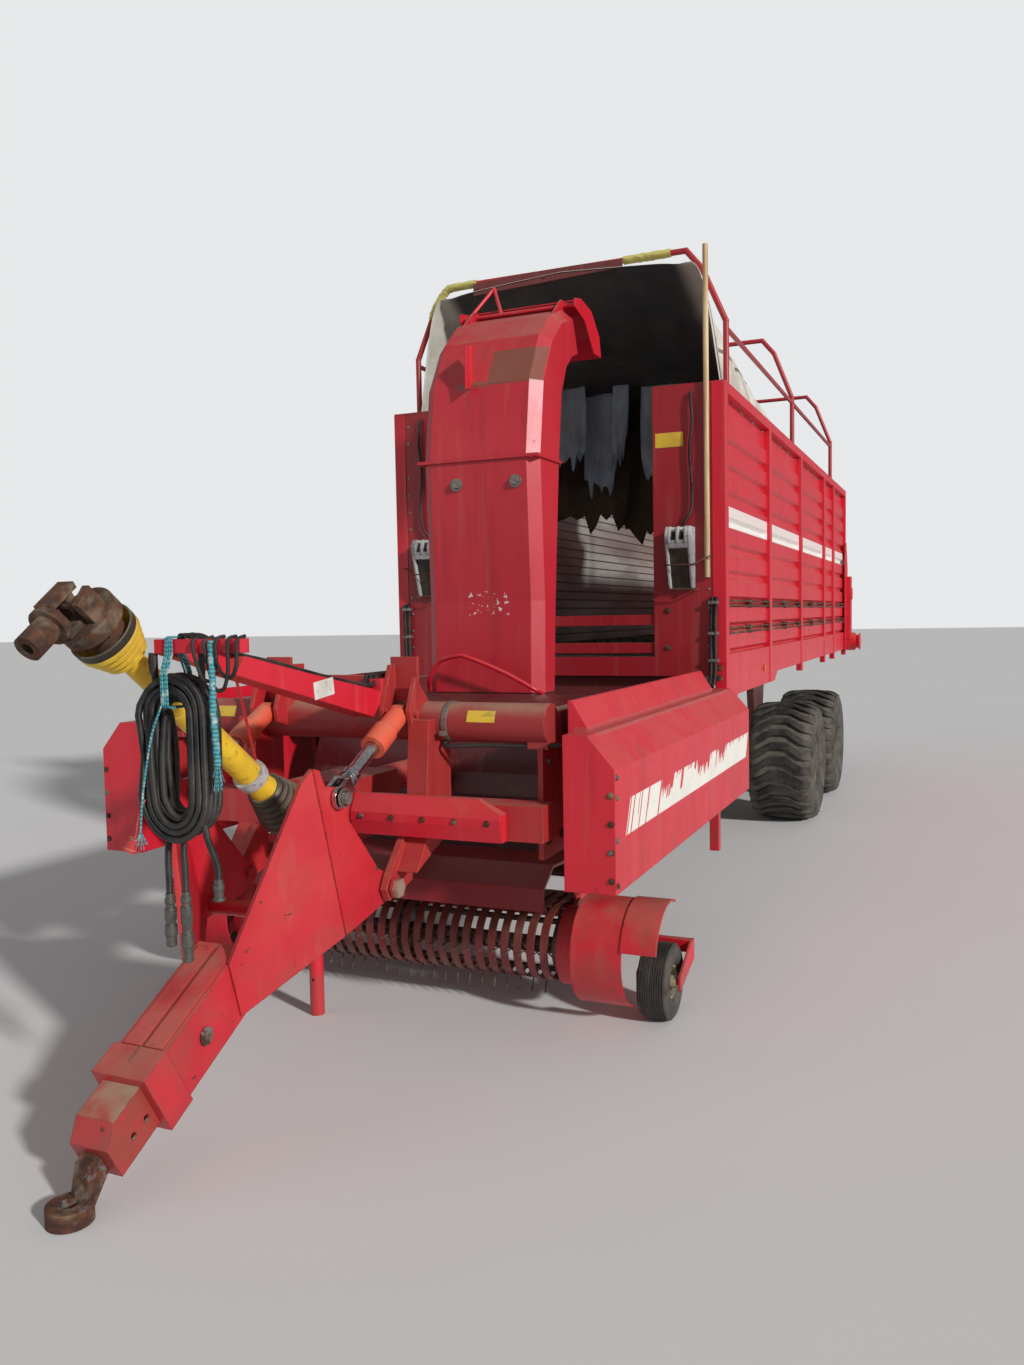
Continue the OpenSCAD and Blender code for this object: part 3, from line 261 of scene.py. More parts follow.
@dataclass(frozen=True)
class Mark:
    """A patch of another colour inside a box measured from the front wall.

    It is the same on both sides unless it is signed; sparse leaves only that much of its noise.
    """

    low: Point
    high: Point
    colour: Colour
    ragged: float = 0.0
    cover: float = 1.0
    grain: float = 9.0
    signed: bool = False
    sparse: float = 0.0

    def mask(self, r: Recipe) -> Value:
        """The patch's mask.

        Args:
            r: the recipe it goes into.

        Returns:
            1 inside the patch, with torn edges if it is ragged.
        """
        shake = (r.noise(self.grain, 4.0) - 0.5) * self.ragged
        soft = 0.001 + self.ragged * 0.02
        across = (r.y if self.signed else r.side) + shake * 0.5
        inside = self.cover
        for i, place in enumerate((r.x + shake, across, r.z + shake)):
            inside = place.between(self.low[i], self.high[i], soft) * inside
        if self.sparse:
            inside = inside * r.noise(self.grain * 3, 4.0).above(self.sparse, self.sparse + 0.01)
        return inside


@dataclass(frozen=True)
class TornBand(Mark):
    """A band with a straight lower edge whose top is torn away in slanted slashes."""

    lean: float = 0.5
    broken: float = 1.84

    def mask(self, r: Recipe) -> Value:
        """The band's mask.

        Args:
            r: the recipe it goes into.

        Returns:
            1 where the band is left.
        """
        height = (r.z - self.low[2]) * (1 / (self.high[2] - self.low[2]))
        along = r.x + (r.z - self.low[2]) * self.lean

        def torn(scale: float, detail: float) -> Value:
            """Noise that changes only along the leaning band."""
            return r.out("ShaderNodeTexNoise", {"noise_dimensions": "1D"},
                         {"W": along, "Scale": scale, "Detail": detail, "Roughness": 0.7})
        top = torn(3.1, 0.0).above(0.34, 0.56) * 0.5 + torn(26.0, 3.0).above(0.36, 0.62) * 0.4 + 0.28
        left = (top + 0.08 - height).above(-0.01, 0.03)
        front = along.above(self.broken - 0.01, self.broken + 0.01)
        bars = torn(30.0, 1.0).above(0.36, 0.39).most(1 - front)
        holes = 1 - torn(9.0, 4.0).above(0.63, 0.65) * height.above(0.3, 0.45)
        inside = height.between(0.0, 1.0, 0.01) * along.between(self.low[0], self.high[0], 0.002)
        return left.most(front) * bars * holes * inside * r.side.above(self.low[1], self.low[1] + 0.001)


@dataclass(frozen=True)
class Paint(Finish):
    """Old enamel: faded in clouds, streaked by rain, dusty on top, rusty on its edges and chips."""

    colour: Colour = RED
    faded: Colour = RED_FADED
    fade: float = 0.4
    rust: float = 0.3
    worn: float = 0.55
    dust: float = 0.32
    rough: float = 0.42
    splash: float = 0.35
    marks: tuple[Mark, ...] = ()
    inside: Colour | None = None
    inner_side: float = 0.98
    edge_colour: Colour | None = None

    def mix(self, r: Recipe) -> None:
        """Fill the recipe."""
        base = r.blend(r.noise(1.1, 4.0).above(0.38, 0.68) * self.fade, self.colour, self.faded)
        grain = r.noise(11.0, 4.0, (1, 1, 0.07)).above(0.5, 0.72) * 0.35
        base = r.blend(grain, base, times(self.colour, 0.55))
        base = r.blend(r.noise(16.0, 2.0, (1, 1, 0.05)).above(0.58, 0.68) * 0.07, base, DUST)
        if self.inside:
            within = 1 - r.side.above(self.inner_side - 0.002, self.inner_side)
            stain = r.noise(3.0, 5.0, (0.25, 1, 1)).above(0.35, 0.65)
            lining = r.blend(stain, self.inside, times(self.inside, 0.55))
            # painted shade: dark lines every 74 mm in the grooves between the inner wall's ribs
            groove_shade = (r.z - 1.43).wave(0.074).above(0.03, 0.10)
            lining = r.blend(groove_shade, times(self.inside, 0.12), lining)
            base = r.blend(within, base, lining)
        for mark in self.marks:
            base = r.blend(mark.mask(r), base, mark.colour)
        dirt = (1 - r.z.above(0.25, 1.15)) * r.noise(5.0, 5.0).above(0.42, 0.66) * self.splash
        base = r.blend(dirt, base, SOIL)
        dust = r.up.above(0.25, 0.95) * r.noise(4.0, 5.0).above(0.28, 0.62) * self.dust
        base = r.blend(dust, base, DUST)
        edge, rounded = r.edges(0.005)
        chips = r.noise(21.0, 6.0).above(0.66, 0.70) * self.rust
        if self.edge_colour:
            base = r.blend(edge * r.noise(9.0, 4.0).above(0.3, 0.5) * 0.9, base, self.edge_colour)
        bare = (edge * r.noise(30.0, 4.0).above(0.40, 0.58) * self.worn).most(chips)
        base = r.blend(bare, base, r.blend(r.noise(60.0).above(0.4, 0.6), RUST, RUST_DARK))
        rough = r.noise(6.0) * 0.22 + self.rough - 0.1 + dust * 0.3 + bare * 0.35
        bumps = ((r.noise(140.0, 2.0), 0.0002), (r.noise(1.7, 2.0), 0.006), (bare * -1.0, 0.0004))
        r.surface(base, rough, 0.0, bumps, rounded, {"Coat Weight": 0.18, "Coat Roughness": 0.3})


@dataclass(frozen=True)
class Metal(Finish):
    """Bare or rusty steel, from polished rods to forged yokes."""

    slot: str = "rusty_steel"
    clean: Colour = STEEL
    rust_share: float = 1.0
    rough: float = 0.55
    shine: float = 0.6

    def mix(self, r: Recipe) -> None:
        """Fill the recipe."""
        start = 0.62 - 0.3 * self.rust_share
        spots = r.noise(12.0, 6.0) + (r.noise(45.0, 4.0) - 0.5) * 0.4
        rusty = spots.above(start, start + 0.12) * self.rust_share
        oxide = r.blend(r.noise(26.0, 5.0).above(0.38, 0.64), RUST_DARK, RUST)
        oxide = r.blend(r.noise(8.0).above(0.52, 0.7) * 0.5, oxide, DUST)
        scratches = r.noise(90.0, 2.0)
        base = r.blend(scratches.above(0.35, 0.7), self.clean, times(self.clean, 0.7))
        base = r.blend(rusty, base, oxide)
        _, rounded = r.edges(0.003)
        bumps = ((r.noise(70.0, 5.0) * rusty, 0.0012), (scratches, 0.0002))
        r.surface(base, rusty * 0.35 + scratches * 0.2 + self.rough - 0.1,
                  (1 - rusty) * self.shine, bumps, rounded)


@dataclass(frozen=True)
class Rubber(Finish):
    """Tyre or hose rubber with dry dust in its hollows."""

    slot: str = "tyre_rubber"
    colour: Colour = srgb(34, 33, 33)
    dust: float = 0.5
    rough: float = 0.72
    hollow: bool = True
    ribs: float = 0.0
    dust_colour: Colour = srgb(140, 131, 118)

    def mix(self, r: Recipe) -> None:
        """Fill the recipe."""
        cover = r.noise(7.0, 5.0).above(0.34, 0.64) * self.dust
        if self.hollow:
            low = r.out("ShaderNodeAttribute", {"attribute_name": "hollow"}, None, 2)
            cover = cover * 0.45 + low * r.noise(13.0, 4.0).above(0.25, 0.6) * self.dust
        base = r.blend(r.noise(30.0, 4.0).above(0.4, 0.65), self.colour, times(self.colour, 1.8))
        base = r.blend(cover, base, self.dust_colour)
        bumps = [(r.noise(120.0, 4.0), 0.0005)]
        if self.ribs:
            bumps.append((r.split(r.uv)[0].wave(self.ribs), 0.0006))
        r.surface(base, cover * 0.25 + self.rough, 0.0, tuple(bumps), None, {"Specular IOR Level": 0.35})


@dataclass(frozen=True)
class Plastic(Finish):
    """Moulded plastic, scuffed and dusty, with a fine grain."""

    slot: str = "guard_plastic"
    colour: Colour = srgb(196, 158, 30)
    aged: Colour = srgb(150, 118, 40)
    dust: float = 0.4
    rough: float = 0.45

    def mix(self, r: Recipe) -> None:
        """Fill the recipe."""
        base = r.blend(r.noise(5.0, 5.0).above(0.36, 0.66), self.colour, self.aged)
        scuffs = r.noise(38.0, 3.0, (1, 0.3, 1)).above(0.58, 0.68) * 0.5
        base = r.blend(scuffs, base, times(self.aged, 0.4))
        dust = r.up.above(0.1, 0.9) * r.noise(9.0, 4.0).above(0.3, 0.62) * self.dust
        base = r.blend(dust, base, DUST)
        edge, rounded = r.edges(0.003)
        base = r.blend(edge * 0.35, base, WHITE)
        r.surface(base, dust * 0.3 + r.noise(12.0) * 0.2 + self.rough - 0.1, 0.0,
                  ((r.noise(220.0, 2.0), 0.0002),), rounded)


@dataclass(frozen=True)
class Wood(Finish):
    """A pale round pole with grain along Z and a few knots."""

    def mix(self, r: Recipe) -> None:
        """Fill the recipe."""
        grain = r.noise(60.0, 5.0, (1, 1, 0.04))
        base = r.blend(grain.above(0.35, 0.65), srgb(224, 200, 156), srgb(178, 146, 98))
        base = r.blend(r.noise(7.0, 3.0, (1, 1, 0.8)).above(0.68, 0.74), base, srgb(96, 66, 40))
        base = r.blend((1 - r.z.above(1.95, 2.3)) * 0.35, base, SOIL)
        r.surface(base, grain * 0.2 + 0.5, 0.0, ((grain, 0.0008),))


@dataclass(frozen=True)
class Boards(Finish):
    """Load floor and slats: boards across, grey with crop dust."""

    def mix(self, r: Recipe) -> None:
        """Fill the recipe."""
        seam = r.y.wave(0.12).above(0.02, 0.12)
        grain = r.noise(30.0, 5.0, (0.08, 1, 1))
        base = r.blend(grain.above(0.35, 0.66), srgb(92, 84, 74), srgb(58, 52, 46))
        base = r.blend(r.noise(2.2, 5.0).above(0.4, 0.62) * 0.6, base, srgb(128, 116, 84))
        base = r.blend(1 - seam, base, srgb(20, 18, 16))
        r.surface(base, 0.8, 0.0, ((seam, 0.003), (grain, 0.001)))


@dataclass(frozen=True)
class Cloth(Finish):
    """Woven sheet: pale and stained outside; inside it is painted darker as shade, and paler again where the
    inner sides are lit.
    """

    slot: str = "tarpaulin"
    colour: Colour = srgb(214, 212, 204)
    # painted shade: the inner colour is painted on faces turned inwards or down, and the sides' share paints
    # the lit inner drapes paler again
    inner: Colour = srgb(92, 94, 100)
    weave: float = 0.006
    soil: float = 0.6
    low: float = 2.9
    high: float = 3.7
    lit_sides: float = 0.0

    def mix(self, r: Recipe) -> None:
        """Fill the recipe."""
        u, v, _ = r.split(r.uv)
        threads = u.wave(self.weave) * 0.5 + v.wave(self.weave) * 0.5
        # painted shade on the inner faces, lifted towards the outer colour on the lit inner sides
        within = 1 - (r.out_y * r.y + r.up * 0.5).above(-0.02, 0.02)
        inner = r.blend(r.side.above(0.68, 0.80) * self.lit_sides, self.inner, self.colour)
        base = r.blend(within, self.colour, inner)
        stains = r.noise(1.6, 6.0).above(0.42, 0.7) * self.soil
        base = r.blend(stains, base, srgb(120, 110, 92))
        runs = r.noise(9.0, 4.0, (1, 1, 0.15)).above(0.5, 0.7) * 0.4 * self.soil
        base = r.blend(runs, base, srgb(96, 88, 76))
        foot = (1 - r.z.above(self.low, self.high)) * r.noise(4.0, 4.0).above(0.35, 0.6) * self.soil
        base = r.blend(foot, base, srgb(110, 92, 66))
        r.surface(base, 0.85, 0.0, ((threads, 0.0004), (r.noise(22.0, 4.0), 0.004)), None,
                  {"Sheen Weight": 0.15})


@dataclass(frozen=True)
class Rope(Finish):
    """Twisted twine whose strands follow its own UV map."""

    slot: str = "twine"
    colour: Colour = srgb(82, 168, 178)
    strands: float = 0.012

    def mix(self, r: Recipe) -> None:
        """Fill the recipe."""
        u, v, _ = r.split(r.uv)
        lay = (u + v * self.strands * 3.0).wave(self.strands)
        # painted shade: the valleys between the strands are darker
        base = r.blend(lay, times(self.colour, 0.45), self.colour)
        base = r.blend(r.noise(40.0, 4.0).above(0.5, 0.66) * 0.5, base, WHITE)
        r.surface(base, 0.8, 0.0, ((lay, 0.0012), (r.noise(160.0), 0.0008)))


STRIPE = (Mark((-5.99, 0.984, 2.124), (-0.06, 1.0105, 2.24), srgb(242, 240, 234), 0.0, 0.97),)
BAND = (TornBand((0.09, 1.149, 0.858), (2.27, 1.16, 0.986), srgb(240, 236, 224)),
        Mark((0.1, 0.955, 1.16), (2.3, 1.06, 1.24), srgb(170, 96, 92), 0.02, 0.5, 3.0))
SPOUT_MARKS = (Mark((0.5, 0.035, 2.80), (0.99, 0.315, 2.99), srgb(118, 72, 54), 0.02, 0.85, 18.0, True),
               Mark((0.6, -0.13, 2.79), (0.99, 0.04, 2.825), srgb(124, 80, 66), 0.03, 0.7, 14.0, True),
               Mark((0.9, -0.075, 1.652), (1.02, 0.147, 1.774), WHITE, 0.02, 0.95, 14.0, True, 0.60))
FRONT_RAILS = (Mark((2.16, 0.0, 1.16), (2.36, 1.3, 1.35), srgb(158, 46, 48), 0.0, 0.95),
               Mark((-0.06, 0.0, 0.9), (2.16, 1.3, 1.6), srgb(110, 30, 34), 0.0, 0.9))
BAR_MARKS = (Mark((2.9, 0.0, 0.1), (3.5, 0.005, 0.65), RUST_DARK, 0.0, 0.8),
             Mark((2.48, 0.3635, 0.60), (2.58, 0.39, 0.74), srgb(158, 138, 120), 0.0, 0.9))
PAINT = Paint("red_enamel")
RAIL_PAINT = Paint("hoop_rail_enamel", "dark_paint", srgb(116, 48, 46), srgb(104, 60, 54), 0.8, 0.4)
BAR_PAINT = Paint("drawbar_enamel", colour=srgb(196, 22, 44), faded=srgb(206, 62, 60), worn=1.0, rust=0.9,
                  fade=0.8, dust=0.3, marks=BAR_MARKS)
RUSTY = Metal("rusty_steel")
COUPLER = Metal("coupler_steel", clean=srgb(112, 110, 104), rust_share=0.4, rough=0.42, shine=0.75)
GREY_STEEL = Metal("grey_steel", clean=srgb(150, 146, 138), rust_share=0.45, rough=0.45, shine=0.7)
YELLOW = Plastic("guard_plastic", colour=srgb(230, 188, 44), aged=srgb(206, 164, 40))
BLACK_RIB = Plastic("guard_rubber", colour=srgb(44, 42, 38), aged=srgb(70, 62, 46))
GREY_PLASTIC = Plastic("grey_plastic", "grey_plastic", srgb(190, 190, 188), srgb(140, 140, 140))
LABEL_YELLOW = Plastic("label_yellow", colour=srgb(232, 196, 60), aged=srgb(206, 170, 60), dust=0.2)
LABEL_WHITE = Plastic("label_white", colour=srgb(226, 222, 214), aged=srgb(190, 184, 172), dust=0.2)
ORANGE = Plastic("orange_marker", colour=srgb(230, 110, 30), aged=srgb(200, 92, 34), dust=0.2)
CAP_RED = Plastic("cap_red", colour=srgb(190, 60, 56), aged=srgb(150, 52, 50))
TYRE = Rubber("tyre_rubber", colour=srgb(30, 30, 31), dust=0.42)
GAUGE = Rubber("gauge_rubber", dust=0.3)
HOSE = Rubber("hose_rubber", "hose_rubber", srgb(24, 24, 26), 0.14, 0.36, False, 0.004)
CANVAS = Cloth("roof_canvas", colour=srgb(230, 226, 212), inner=srgb(40, 41, 46), soil=0.35, lit_sides=0.75)
STRIP = Cloth("torn_strip", colour=srgb(196, 210, 228), inner=srgb(180, 196, 218), low=2.3, high=2.7,
              soil=0.5)
BROWN_STRIP = Cloth("brown_strip", colour=srgb(92, 70, 58), inner=srgb(70, 54, 46), low=2.3, high=2.7)
TAPE = Cloth("yellow_tape", colour=srgb(208, 200, 104), inner=srgb(184, 174, 92), low=3.0, high=3.2, soil=0.3)
TWINE = Rope("blue_twine")

NODE_FINISHES: dict[Finish, str] = {
    PAINT: "spout_flap hose_arm pickup_frame floor_drive beam_cover tailgate parking_stand",
    Paint("wall_enamel", marks=STRIPE, inside=srgb(158, 156, 150), inner_side=0.967,
          rust=0.25): "side_left side_right",
    # painted shade: a darker copy of the main red on the front wall and rear frame stands in for the shade
    # they lie in
    Paint("panel_shade_enamel", colour=srgb(156, 28, 38), faded=srgb(168, 46, 50), rust=0.2,
          fade=0.5): "front_wall rear_frame",
    # painted shade: the pick-up hood takes a darker red for the shade it lies in
    Paint("hood_shade_enamel", colour=srgb(134, 24, 34), faded=srgb(146, 42, 46), dust=0.08,
          splash=0.1): "pickup_hood",
    # painted shade: the chopper housing is painted nearly black-maroon for the shade inside the frame
    Paint("chopper_shade_enamel", colour=srgb(80, 16, 24), faded=srgb(92, 30, 32), rust=0.4, fade=0.5, dust=0.08,
          splash=0.2): "chopper_housing",
    Paint("spout_enamel", colour=srgb(190, 30, 46), faded=srgb(200, 54, 64), marks=SPOUT_MARKS,
          worn=0.5): "spout",
    Paint("guard_enamel", marks=BAND, dust=0.2): "side_guard_left side_guard_right",
    Paint("frame_enamel", colour=srgb(180, 36, 42), faded=srgb(158, 56, 50), fade=0.7, rust=0.5, worn=0.5,
          rough=0.5, edge_colour=WORN_ORANGE): "front_frame gearbox",
    Paint("hoop_enamel", colour=srgb(176, 34, 44), faded=srgb(158, 60, 56), fade=0.6, rust=0.4): "roof_hoops",
    BAR_PAINT: "drawbar",
    Paint("inner_tube_enamel", colour=srgb(178, 44, 44), faded=srgb(120, 72, 54), fade=1.0, rust=1.0,
          worn=1.0, dust=0.9): "drawbar_inner",
    Paint("cylinder_enamel", colour=RED_ORANGE, faded=srgb(226, 112, 84),
          rust=0.2): "lift_barrel_left lift_barrel_right",
    Paint("underside_enamel", colour=srgb(92, 34, 34), faded=srgb(80, 62, 52), fade=0.9, dust=0.6, splash=0.7,
          rough=0.6, marks=FRONT_RAILS, edge_colour=WORN_ORANGE): "chassis bogies",
    Paint("black_enamel", colour=srgb(30, 29, 29), faded=srgb(52, 48, 46), dust=0.8, splash=0.9,
          rough=0.6): "axles",
    Paint("band_enamel", colour=srgb(140, 24, 32), faded=srgb(94, 42, 36), fade=0.9, rust=0.7, worn=0.8,
          splash=0.4, dust=0.15): "pickup_bands",
    Paint("rim_enamel", colour=srgb(150, 146, 136), faded=srgb(126, 112, 92), fade=1.0,
          splash=0.8): "rim_front_left rim_front_right rim_rear_left rim_rear_right",
    Paint("gauge_rim_enamel", colour=srgb(206, 196, 160), faded=srgb(150, 120, 84), splash=0.6,
          rust=1.0): "gauge_rim_left gauge_rim_right",
    RUSTY: "hitch_eye",
    Metal("forged_steel", clean=srgb(96, 84, 70), rust_share=0.9, rough=0.6, shine=0.4): "shaft_joint",
    COUPLER: "hose_couplers",
    Metal("tine_steel", clean=srgb(120, 112, 104), rust_share=0.7): "pickup_reel",
    Metal("chrome_rod", clean=srgb(206, 206, 208), rust_share=0.12, rough=0.22,
          shine=1.0): "lift_rod_left lift_rod_right",
    YELLOW: "shaft_guard",
    GREY_PLASTIC: "wheel_chocks",
    TYRE: "tyre_front_left tyre_front_right tyre_rear_left tyre_rear_right gauge_tyre_left gauge_tyre_right",
    Wood("pole_wood"): "pole",
    Boards("floor_boards"): "load_floor",
    CANVAS: "tarpaulin",
    HOSE: "hose_hank hose_tail_1 hose_tail_2 hose_tail_3",
    TWINE: "hank_tie twine_end",
}


# Shapes

class Axis(Enum):
    """The direction an outline is drawn along."""

    X = 0
    Y = 1
    Z = 2


def smooth_path(points: list[Point], cuts: int) -> list[Vector]:
    """Draw a smooth line through points, with this many steps between two of them.

    Args:
        points: the points it passes.
        cuts: how many steps go between two of them.

    Returns:
        The line's points.
    """
    p = [Vector(q) for q in points]
    p = [2 * p[0] - p[1]] + p + [2 * p[-1] - p[-2]]
    line = []
    for a, b, c, d in zip(p, p[1:], p[2:], p[3:]):
        for k in range(cuts):
            t = k / cuts
            line.append(0.5 * (2 * b + (c - a) * t + (2 * a - 5 * b + 4 * c - d) * t * t
                               + (3 * b - a - 3 * c + d) * t ** 3))
    return line + [p[-2]]


def length_of(points: list[Vector]) -> float:
    """Length of a line of points."""
    return sum((b - a).length for a, b in zip(points, points[1:]))


def turns(count: int) -> list[float]:
    """Angles of equal steps in one turn."""
    return [math.tau * k / count for k in range(count)]


class Shape:
    """One mesh that grows from simple parts, measured in metres from the front wall."""

    def __init__(self) -> None:
        """Start with nothing."""
        self.mesh = bmesh.new()
        self.uv = self.mesh.loops.layers.uv.new("UVMap")
        self.hollow = self.mesh.verts.layers.float.new("hollow")

    def grid(self, rows: list[list[Vector]], around: bool = False, caps: bool = False,
             hollow: list[float] | None = None) -> "Shape":
        """Join rows of points with faces.

        Args:
            rows: rows with the same number of points.
            around: whether each row closes on itself.
            caps: whether the first and the last row are closed.
            hollow: how dusty each row is.

        Returns:
            This shape.
        """
        verts = [[self.mesh.verts.new(p) for p in row] for row in rows]
        for row, value in zip(verts, hollow or ()):
            for v in row:
                v[self.hollow] = value
        count, middle = len(rows[0]), rows[len(rows) // 2]
        along, across = [0.0], [0.0]
        for a, b in zip(rows, rows[1:]):
            along.append(along[-1] + (Vector(b[0]) - Vector(a[0])).length)
        for j in range(count):
            across.append(across[-1] + (Vector(middle[(j + 1) % count]) - Vector(middle[j])).length)
        for i in range(len(rows) - 1):
            for j in range(count if around else count - 1):
                k = (j + 1) % count
                face = self.mesh.faces.new((verts[i][j], verts[i + 1][j], verts[i + 1][k], verts[i][k]))
                for loop, (u, v) in zip(face.loops, ((i, j), (i + 1, j), (i + 1, j + 1), (i, j + 1))):
                    loop[self.uv].uv = (along[u], across[v])
        if caps:
            self.mesh.faces.new(verts[0])
            self.mesh.faces.new(verts[-1][::-1])
        return self

    def prism(self, outline: list[Pair], axis: Axis, start: float, end: float) -> "Shape":
        """Draw a flat outline along an axis.

        Args:
            outline: its corners, in the other two directions in their order X, Y, Z.
            axis: the direction it is drawn along.
            start: where it begins.
            end: where it ends.

        Returns:
            This shape.
        """
        at = axis.value
        return self.grid([[Vector((*p[:at], s, *p[at:])) for p in outline] for s in (start, end)], True, True)

    def block(self, low: Point, high: Point) -> "Shape":
        """A block between two corners."""
        corners = [(low[0], low[1]), (high[0], low[1]), (high[0], high[1]), (low[0], high[1])]
        return self.prism(corners, Axis.Z, low[2], high[2])

    def pipe(self, points: list[Point], radius: float, sides: int = 10, lobes: float = 0.0,
             twist: float = 0.0, closed: bool = False) -> "Shape":
        """A round bar, hose or rope along a line.

        Args:
            points: the line.
            radius: its radius.
            sides: how many sides it has.
            lobes: how deep the hollows between a rope's three strands are, as a share of the radius.
            twist: turns of the strands in a metre.
            closed: whether the line closes on itself.

        Returns:
            This shape.
        """
        line = [Vector(p) for p in points]
        last = len(line) - 1
        rows, run, up = [], 0.0, None
        for i, p in enumerate(line):
            before = line[i - 1] if i or closed else p
            after = line[(i + 1) % (last + 1)] if i < last or closed else p
            t = (after - before).normalized()
            if up is None:
                up = t.cross(Vector((0.31, 0.2, 0.93))).normalized()
            up = (up - t * up.dot(t)).normalized()
            right = t.cross(up)
            run += (p - line[i - 1]).length if i else 0.0
            ring = []
            for a in turns(sides):
                r = radius * (1 - lobes * (0.5 + 0.5 * math.cos(3 * (a - twist * run * math.tau))))
                ring.append(p + up * (math.cos(a) * r) + right * (math.sin(a) * r))
            rows.append(ring)
        if closed:
            rows.append(rows[0])
        return self.grid(rows, True, not closed)

    def curve(self, points: list[Point], cuts: int, radius: float, sides: int = 8) -> "Shape":
        """A round bar or hose along a smooth line through points."""
        return self.pipe(smooth_path(points, cuts), radius, sides)

    def lathe(self, profile: list[Pair], origin: Point, axis: Point, steps: int = 32,
              hollow: list[float] | None = None) -> "Shape":
        """Turn a profile around an axis.

        Args:
            profile: pairs of place along the axis and radius.
            origin: where the axis starts.
            axis: its direction.
            steps: how many sides it has.
            hollow: how dusty each ring is.

        Returns:
            This shape.
        """
        t = Vector(axis).normalized()
        up = t.orthogonal().normalized()
        right = t.cross(up)
        rows = [[Vector(origin) + t * s + (up * math.cos(a) + right * math.sin(a)) * r for a in turns(steps)]
                for s, r in profile]
        return self.grid(rows, True, profile[0] != profile[-1], hollow)

    def both_sides(self) -> "Shape":
        """Repeat everything on the other side."""
        everything = self.mesh.verts[:] + self.mesh.edges[:] + self.mesh.faces[:]
        copy = bmesh.ops.duplicate(self.mesh, geom=everything)
        verts = [v for v in copy["geom"] if isinstance(v, bmesh.types.BMVert)]
        bmesh.ops.scale(self.mesh, vec=(1, -1, 1), verts=verts)
        return self

    def move(self, step: Point) -> "Shape":
        """Move everything."""
        bmesh.ops.translate(self.mesh, vec=step, verts=self.mesh.verts[:])
        return self

    def to_mesh(self, name: str, closed: bool = True, smooth: float = 38.0,
                shift: float = 0.0) -> bpy.types.Mesh:
        """Close the shape.

        Args:
            name: the mesh's name.
            closed: whether its faces are turned outwards.
            smooth: the angle in degrees over which an edge stays sharp.
            shift: how far it moves along X.

        Returns:
            The mesh.
        """
        bmesh.ops.remove_doubles(self.mesh, verts=self.mesh.verts[:], dist=1e-6)
        if closed:
            bmesh.ops.recalc_face_normals(self.mesh, faces=self.mesh.faces[:])
        self.move((shift, 0, 0))
        for face in self.mesh.faces:
            face.smooth = True
        for edge in self.mesh.edges:
            if len(edge.link_faces) == 2 and edge.calc_face_angle(0.0) > math.radians(smooth):
                edge.smooth = False
        made = bpy.data.meshes.new(name)
        self.mesh.to_mesh(made)
        self.mesh.free()
        return made

    def put(self, name: str, finish: Finish, body: str = "chassis", replaces: tuple[str, ...] = (),
            bevel: float = 0.0, thickness: float = 0.0, smooth: float = 38.0,
            slot: str = "") -> bpy.types.Object:
        """Put the shape into the scene as one piece.

        Args:
            name: the piece's name.
            finish: its finish.
            body: the moving body it rides on.
            replaces: nodes it stands for.
            bevel: how wide its edges are rounded.
            thickness: how thick a sheet becomes.
            smooth: the angle in degrees over which an edge stays sharp.
            slot: the record's material slot where it isn't the finish's own; not used.

        Returns:
            The piece.
        """
        mesh = self.to_mesh(name, not thickness, smooth, FRONT)
        piece = bpy.data.objects.new(name, mesh)
        bpy.context.scene.collection.objects.link(piece)
        mesh.materials.clear()
        mesh.materials.append(finish.material())
        if thickness:
            wall = piece.modifiers.new("Thickness", "SOLIDIFY")
            wall.thickness, wall.offset = thickness, 0.0
        if bevel:
            rounding = piece.modifiers.new("Edges", "BEVEL")
            rounding.width, rounding.segments, rounding.limit_method = bevel, 2, "ANGLE"
        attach(piece, body)
        if replaces:
            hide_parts(*replaces)
        LOG.info("%s: %d faces on %s", name, len(mesh.polygons), body)
        return piece


# Geometry Nodes

